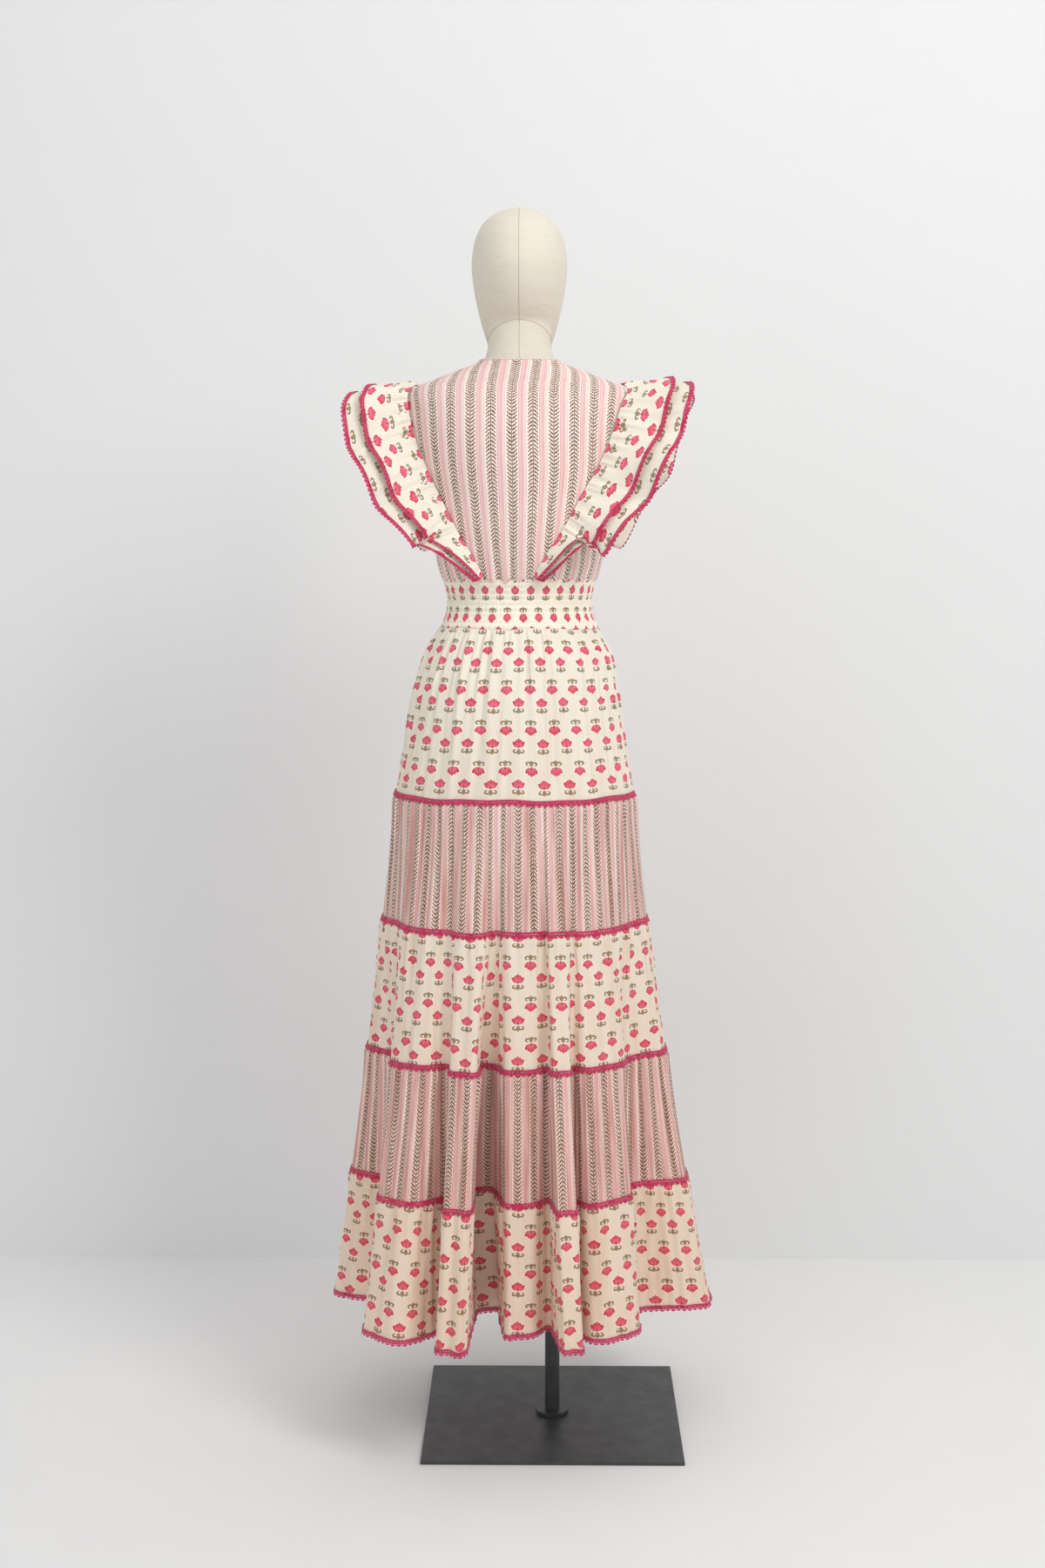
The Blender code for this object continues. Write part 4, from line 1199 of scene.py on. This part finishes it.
def build_bodice(cloths):
    gap = 0.15
    levels = np.concatenate(
        [np.linspace(BAND_TOP_Z, 1.600, 60), np.linspace(1.604, BACK_NECK_Z, 30)]
    )
    low = np.where(levels < SHOULDER_TIP_Z, seam_degrees("left", levels) + gap, -90.0 + gap)
    high = np.where(levels < SHOULDER_TIP_Z, seam_degrees("right", levels) - gap, 90.0 - gap)
    bodice_piece(
        "bodice_back_panel", "bodice_back", low, high, levels, 161, cloths, -3.6,
        lambda grid: grid[-1],
    )
    for side, sign in SIDES.items():
        levels = np.linspace(BAND_TOP_Z, UNDERARM_Z, 36)
        rear = np.abs(seam_degrees(side, levels)) + gap
        fore = np.abs(seam_degrees(side, levels, front=True)) - gap
        low, high = (rear, fore) if sign > 0 else (-fore, -rear)
        bodice_piece(
            f"bodice_{side}_side_panel", f"bodice_side_{side}", low, high, levels, 81, cloths,
            sign * 90.0, lambda grid: grid[-1],
        )
        levels = np.concatenate(
            [np.linspace(BAND_TOP_Z, 1.600, 56), np.linspace(1.604, FRONT_NECK_TOP_Z, 26)]
        )
        outer = np.where(
            levels < SHOULDER_TIP_Z, np.abs(seam_degrees(side, levels, front=True)) + gap,
            90.0 + gap,
        )
        inner = front_edge(levels) - gap
        low, high = (outer, inner) if sign > 0 else (-inner, -outer)
        opened = levels > V_NECK_Z

        def neckline(grid):
            row, column = (grid[-1, ::-1], grid[:, -1]) if sign > 0 else (grid[-1], grid[:, 0])
            return np.concatenate([column[opened], row[1:]])

        bodice_piece(
            f"bodice_{side}_front_panel", f"bodice_front_{side}", low, high, levels, 91, cloths,
            sign * 165.0, neckline,
        )


# The ruffles

def seam_line(side):
    line = []
    for k in range(-SEAM_STEPS, SEAM_STEPS + 1):
        climb = 1.0 - abs(k) / SEAM_STEPS
        z = RUFFLE_FOOT_Z + (SHOULDER_TIP_Z - RUFFLE_FOOT_Z) * math.sin(climb * math.pi / 2)
        line.append(bodice_point(seam_degrees(side, z, front=k > 0), z, RUFFLE_LIFT))
    return np.array(line)


class Ruffle:
    """One side's ruffle: points by share along its seam and share of its width down."""

    def __init__(self, side, columns):
        self.side = side
        line = seam_line(side)
        arc = line_arc(line)
        self.shares = np.linspace(0.0, 1.0, columns)

        def at(shares):
            spots = np.clip(shares, 0.0, 1.0) * arc[-1]
            return np.stack([np.interp(spots, arc, line[:, k]) for k in range(3)], axis=-1)

        self.root = at(self.shares)
        self.width, out, away, up = np.moveaxis(curve_at(RUFFLE_REACH, self.shares), -1, 0)
        up = up + SHOULDER_LIFT[side] * np.sin(math.pi * self.shares) ** 4
        self.direction = unit(np.stack([SIDES[side] * out, -away, up], axis=-1))
        along = at(self.shares + 0.03) - at(self.shares - 0.03)
        self.face = unit(np.cross(self.direction, along) * SIDES[side])
        self.along = unit(along)
        self.ends = np.sqrt(np.maximum(0.0, np.sin(math.pi * self.shares)))
        rng = np.random.default_rng(11 if side == "left" else 12)
        count = 46
        steps = rng.uniform(0.5, 1.5, count)
        self.folds = (
            np.cumsum(steps) / steps.sum(),
            rng.uniform(0.004, 0.010, count),
            rng.uniform(0.30, 0.95, count),
            rng.uniform(0.5, 1.2, count),
        )

    def row(self, layer, down):
        """A line along the ruffle at a share of its width."""
        reach = self.width * (UPPER_SHARE if layer else 1.0)
        turn = 2 * math.pi * RUFFLE_WAVES * (self.shares + WAVE_DRIFT * np.sin(5 * self.shares))
        wave = RUFFLE_WAVE * self.ends * down**1.2 * np.sin(turn)
        stand = layer * (LAYER_LIFT + LAYER_SPREAD * down * self.ends) + wave
        at, half, long, size = self.folds
        at = at + 0.011 * layer
        off = self.shares[None, :] - at[:, None]
        spread = half[:, None] * (0.55 + 0.9 * down)
        height = RUFFLE_CREASE * size * min(1.0, 0.3 + down * 5) * np.exp(-((down / long) ** 2))
        fine = (height[:, None] * np.exp(-((off / spread) ** 2))).sum(axis=0)
        fine -= 0.0011 * (1 - down)
        fine *= self.ends
        clear = ROOT_CLEARANCE * np.sin(math.pi * self.shares) ** 4
        aside = -WAVE_LEAN * self.ends * down**1.4 * np.cos(turn)
        for centre, width, shift, depth in S_FOLDS[self.side]:
            near = (self.shares - centre - 0.004 * layer) / width
            curl = near * np.exp(-0.5 * near**2) * down**1.5
            aside -= shift * curl
            stand = stand + depth * curl
        return (
            self.root
            + self.direction * (clear + reach * down)[:, None]
            + self.face * (stand + fine)[:, None]
            + self.along * aside[:, None]
        )


def build_ruffles(material, lace):
    for side, sign in SIDES.items():
        ruffle = Ruffle(side, 421)
        for layer, name in enumerate(("under", "upper")):
            reach = ruffle.width * (UPPER_SHARE if layer else 1.0)
            downs = np.linspace(0.0, 1.0, 26) ** 1.15
            grid = np.array([ruffle.row(layer, d * 0.965) for d in downs])
            arc = line_arc(grid[-1])
            flat_width = line_arc(grid[len(grid) // 3])[-1] * RUFFLE_SLACK
            u = arc / arc[-1] * flat_width
            v = -np.outer(downs, reach) + 0.006 - 0.004 * layer
            flat = np.stack(np.broadcast_arrays(u[None, :], v), axis=-1)
            if sign > 0:
                grid, flat = grid[::-1], flat[::-1]
            mesh = grid_mesh(f"flutter_{name}_{side}", grid, flat, False)
            piece = new_piece(
                f"flutter_{name}_{side}", mesh, material,
                [f"ruffle_{name}_{side}"],
            )
            mesh = lay_ruffle_trim(f"crochet_{name}_{side}", ruffle, layer)
            trim = new_piece(
                f"crochet_{name}_{side}", mesh, lace,
                [f"lace_ruffle_{name}_{side}"],
            )


def lay_ruffle_trim(name, ruffle, layer):
    """The crochet on a ruffle's free edge, 8 mm wide at every place along it."""
    rows = np.array([ruffle.row(layer, d) for d in np.linspace(1.0, 0.88, 5)])
    normals = grid_normals(rows, False)
    normals *= np.sign(np.sum(normals * ruffle.face[None]))
    inwards = unit(ruffle.row(layer, 0.90) - rows[0])
    grid = np.array([rows[0] + inwards * d for d in np.linspace(-0.0005, 0.0085, 5)])
    return lay_trim(
        name, grid, np.broadcast_to(normals[2], grid.shape), False, RUFFLE_LACE_PITCH,
        RUFFLE_TRIM_WIDTH + 0.0005,
    )


# The form

def skin_point(degrees, heights):
    """Points of the linen where the neck runs up into the head, with a soft corner between them.
    The degrees are seen from the dress's axis."""
    degrees, heights = np.broadcast_arrays(degrees, np.asarray(heights, dtype=float))
    across, deep_in = np.sin(np.radians(degrees)), -np.cos(np.radians(degrees))
    half, back, front = np.moveaxis(curve_at(FORM_SECTIONS, heights), -1, 0)
    deep = np.where(deep_in < 0, back, front)
    neck = 1.0 / np.sqrt((across / half) ** 2 + (deep_in / deep) ** 2)
    half, back, front = np.moveaxis(curve_at(HEAD_SECTIONS, heights), -1, 0)
    middle, deep = (front - back) / 2, (front + back) / 2
    square = (across / half) ** 2 + (deep_in / deep) ** 2
    slope = deep_in * middle / deep**2
    rest = slope**2 - square * ((middle / deep) ** 2 - 1.0)
    head = np.where(rest > 0, (slope + np.sqrt(np.maximum(rest, 0.0))) / square, 0.0)
    near = np.clip(0.5 + 0.5 * (head - neck) / SKIN_CORNER, 0.0, 1.0)
    out = neck + (head - neck) * near + SKIN_CORNER * near * (1.0 - near)
    return np.stack([AXIS_X + out * across, out * deep_in, heights], axis=-1)


def build_form(linen, seam):
    degrees = np.arange(FORM_COLUMNS) * 360.0 / FORM_COLUMNS
    heights = np.concatenate([np.linspace(1.040, 1.590, 60), np.linspace(1.594, SKIN_JOIN_Z, 50)])
    torso = form_point(degrees, heights[:, None])
    under_head = heights > HEAD_SECTIONS[0][0]
    torso[under_head] = skin_point(degrees, heights[under_head][:, None])
    heights = np.concatenate([np.linspace(1.668, 1.880, 70), [1.8835, 1.886, 1.8875, 1.8885]])
    table = HEAD_SECTIONS + (HEAD_TOP,)
    half, back, front = np.moveaxis(curve_at(table, heights[:, None]), -1, 0)
    deep = (front + back) / 2
    head = oval(degrees, heights[:, None], half, half, deep, deep)
    head[..., 1] += (front - back) / 2
    by_neck = heights < SKIN_TOP_Z
    head[by_neck] = skin_point(degrees, heights[by_neck][:, None])
    mesh = closed_rings("linen_form", np.concatenate([torso, head[heights > SKIN_JOIN_Z]]))
    new_piece("linen_form", mesh, linen, ["form_body"])
    build_form_seams(head, heights, seam)


def build_form_seams(head, heights, seam):
    """The seams of the linen cover: down the middle of the head, and round under it."""
    lines = {}
    for (name, start), column in zip(HEAD_SEAM_STARTS.items(), (0, FORM_COLUMNS // 2)):
        lines[f"head_seam_{name}"] = (head[heights > start, column], HEAD_SEAM_RADIUS)
    around = np.linspace(0.0, 360.0, 121)
    nape = np.cos(np.radians(around))
    drop = np.where(nape > 0, NECK_SEAM_DROP * (1.0 - nape), NECK_SEAM_DROP - CHIN_SEAM_DROP * nape)
    lines["neck_seam"] = (skin_point(around, NECK_SEAM_Z - drop), NECK_SEAM_RADIUS)
    nape_line = skin_point(np.zeros(30), np.linspace(*NAPE_SEAM_Z, 30))
    lines["nape_seam"] = (nape_line, NAPE_SEAM_RADIUS)
    for name, (line, radius) in lines.items():
        new_piece(name, tube_mesh(name, line, radius), seam)


# Studio

WALL_Y = 0.79
ROOM_COLOUR = (0.985, 0.99, 1.0, 1.0)
ROOM_STRENGTH = 0.56
# Each light's size, watts, colour, place and what it points at
LIGHTS = {
    "key": (1.2, 38.5, (1.0, 0.985, 0.965), (1.75, -2.15, 3.1), (-0.05, 0.0, 1.25)),
    "fill": (1.6, 6.5, (1.0, 1.0, 1.0), (-2.2, -2.6, 1.4), (-0.05, 0.0, 0.9)),
    "wall_light": (2.5, 16.5, (1.0, 1.0, 1.0), (0.0, -1.6, 3.4), (0.0, 0.79, 0.9)),
}


def show_from_the_room_alone(cloth):
    """The wall is clear from behind, so that the dress can be seen from there too."""
    nodes, links = cloth.tree.nodes, cloth.tree.links
    sides, clear = nodes.new("ShaderNodeNewGeometry"), nodes.new("ShaderNodeBsdfTransparent")
    mix = nodes.new("ShaderNodeMixShader")
    links.new(sides.outputs["Backfacing"], mix.inputs[0])
    links.new(cloth.shader.outputs[0], mix.inputs[1])
    links.new(clear.outputs[0], mix.inputs[2])
    output = next(node for node in nodes if node.type == "OUTPUT_MATERIAL")
    links.new(mix.outputs[0], output.inputs["Surface"])


def build_studio():
    floor_cloth = Cloth("studio_floor", 0.75)
    patch = floor_cloth.noise(*floor_cloth.place_mm(), scale=0.004, detail=4.0, rough=0.6)
    floor_cloth.colour(floor_cloth.mix(linear(247, 247, 246), linear(241, 241, 241), patch))
    wall_cloth = Cloth("studio_wall", 0.9)
    patch = wall_cloth.noise(*wall_cloth.place_mm(), scale=0.002, detail=3.0)
    wall_cloth.colour(wall_cloth.mix(linear(240, 241, 241), linear(237, 238, 238), patch))
    show_from_the_room_alone(wall_cloth)
    for name, corners, cloth in (
        ("floor", ((-8, -8, 0), (8, -8, 0), (8, 8, 0), (-8, 8, 0)), floor_cloth),
        ("wall", ((-4, WALL_Y, 0), (4, WALL_Y, 0), (4, WALL_Y, 4), (-4, WALL_Y, 4)), wall_cloth),
    ):
        mesh = bpy.data.meshes.new(name)
        mesh.from_pydata(corners, [], [(0, 1, 2, 3)])
        mesh.materials.append(cloth.material)
        made = bpy.data.objects.new(name, mesh)
        bpy.context.scene.collection.objects.link(made)
    world = bpy.context.scene.world or bpy.data.worlds.new("world")
    bpy.context.scene.world = world
    world.use_nodes = True
    background = world.node_tree.nodes["Background"]
    background.inputs[0].default_value = ROOM_COLOUR
    background.inputs[1].default_value = ROOM_STRENGTH
    for name, (size, energy, colour, place, aim) in LIGHTS.items():
        light = bpy.data.lights.new(name, "AREA")
        light.shape = "SQUARE"
        light.size = size
        light.energy = energy
        light.color = colour
        made = bpy.data.objects.new(name, light)
        bpy.context.scene.collection.objects.link(made)
        made.location = place
        towards = Vector(aim) - Vector(place)
        made.rotation_euler = towards.to_track_quat("-Z", "Y").to_euler()
    bpy.context.scene.view_settings.view_transform = "Standard"


def main():
    put_camera()
    floral = floral_material("floral_voile")
    stripe = stripe_material("vine_stripe_voile")
    lace = lace_material()
    linen = linen_material()
    steel = steel_material()
    seam = thread_material("linen_thread", linear(196, 179, 153))
    for node in ("base_plate", "pole_flange", "pole"):
        piece = bpy.data.objects[node] if node in bpy.data.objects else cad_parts[node]
        for slot in piece.material_slots:
            slot.material = steel
    build_form(linen, seam)
    # The band's copy of the print has its ground painted lighter, painted light against its
    # smocking's shade
    build_waistband(floral_material("floral_smocked_voile", 0.85))
    build_skirt((floral, stripe), lace)
    build_bodice((stripe, thread_material("ivory_binding", linear(246, 234, 224))))
    build_ruffles(floral, lace)
    build_studio()


main()
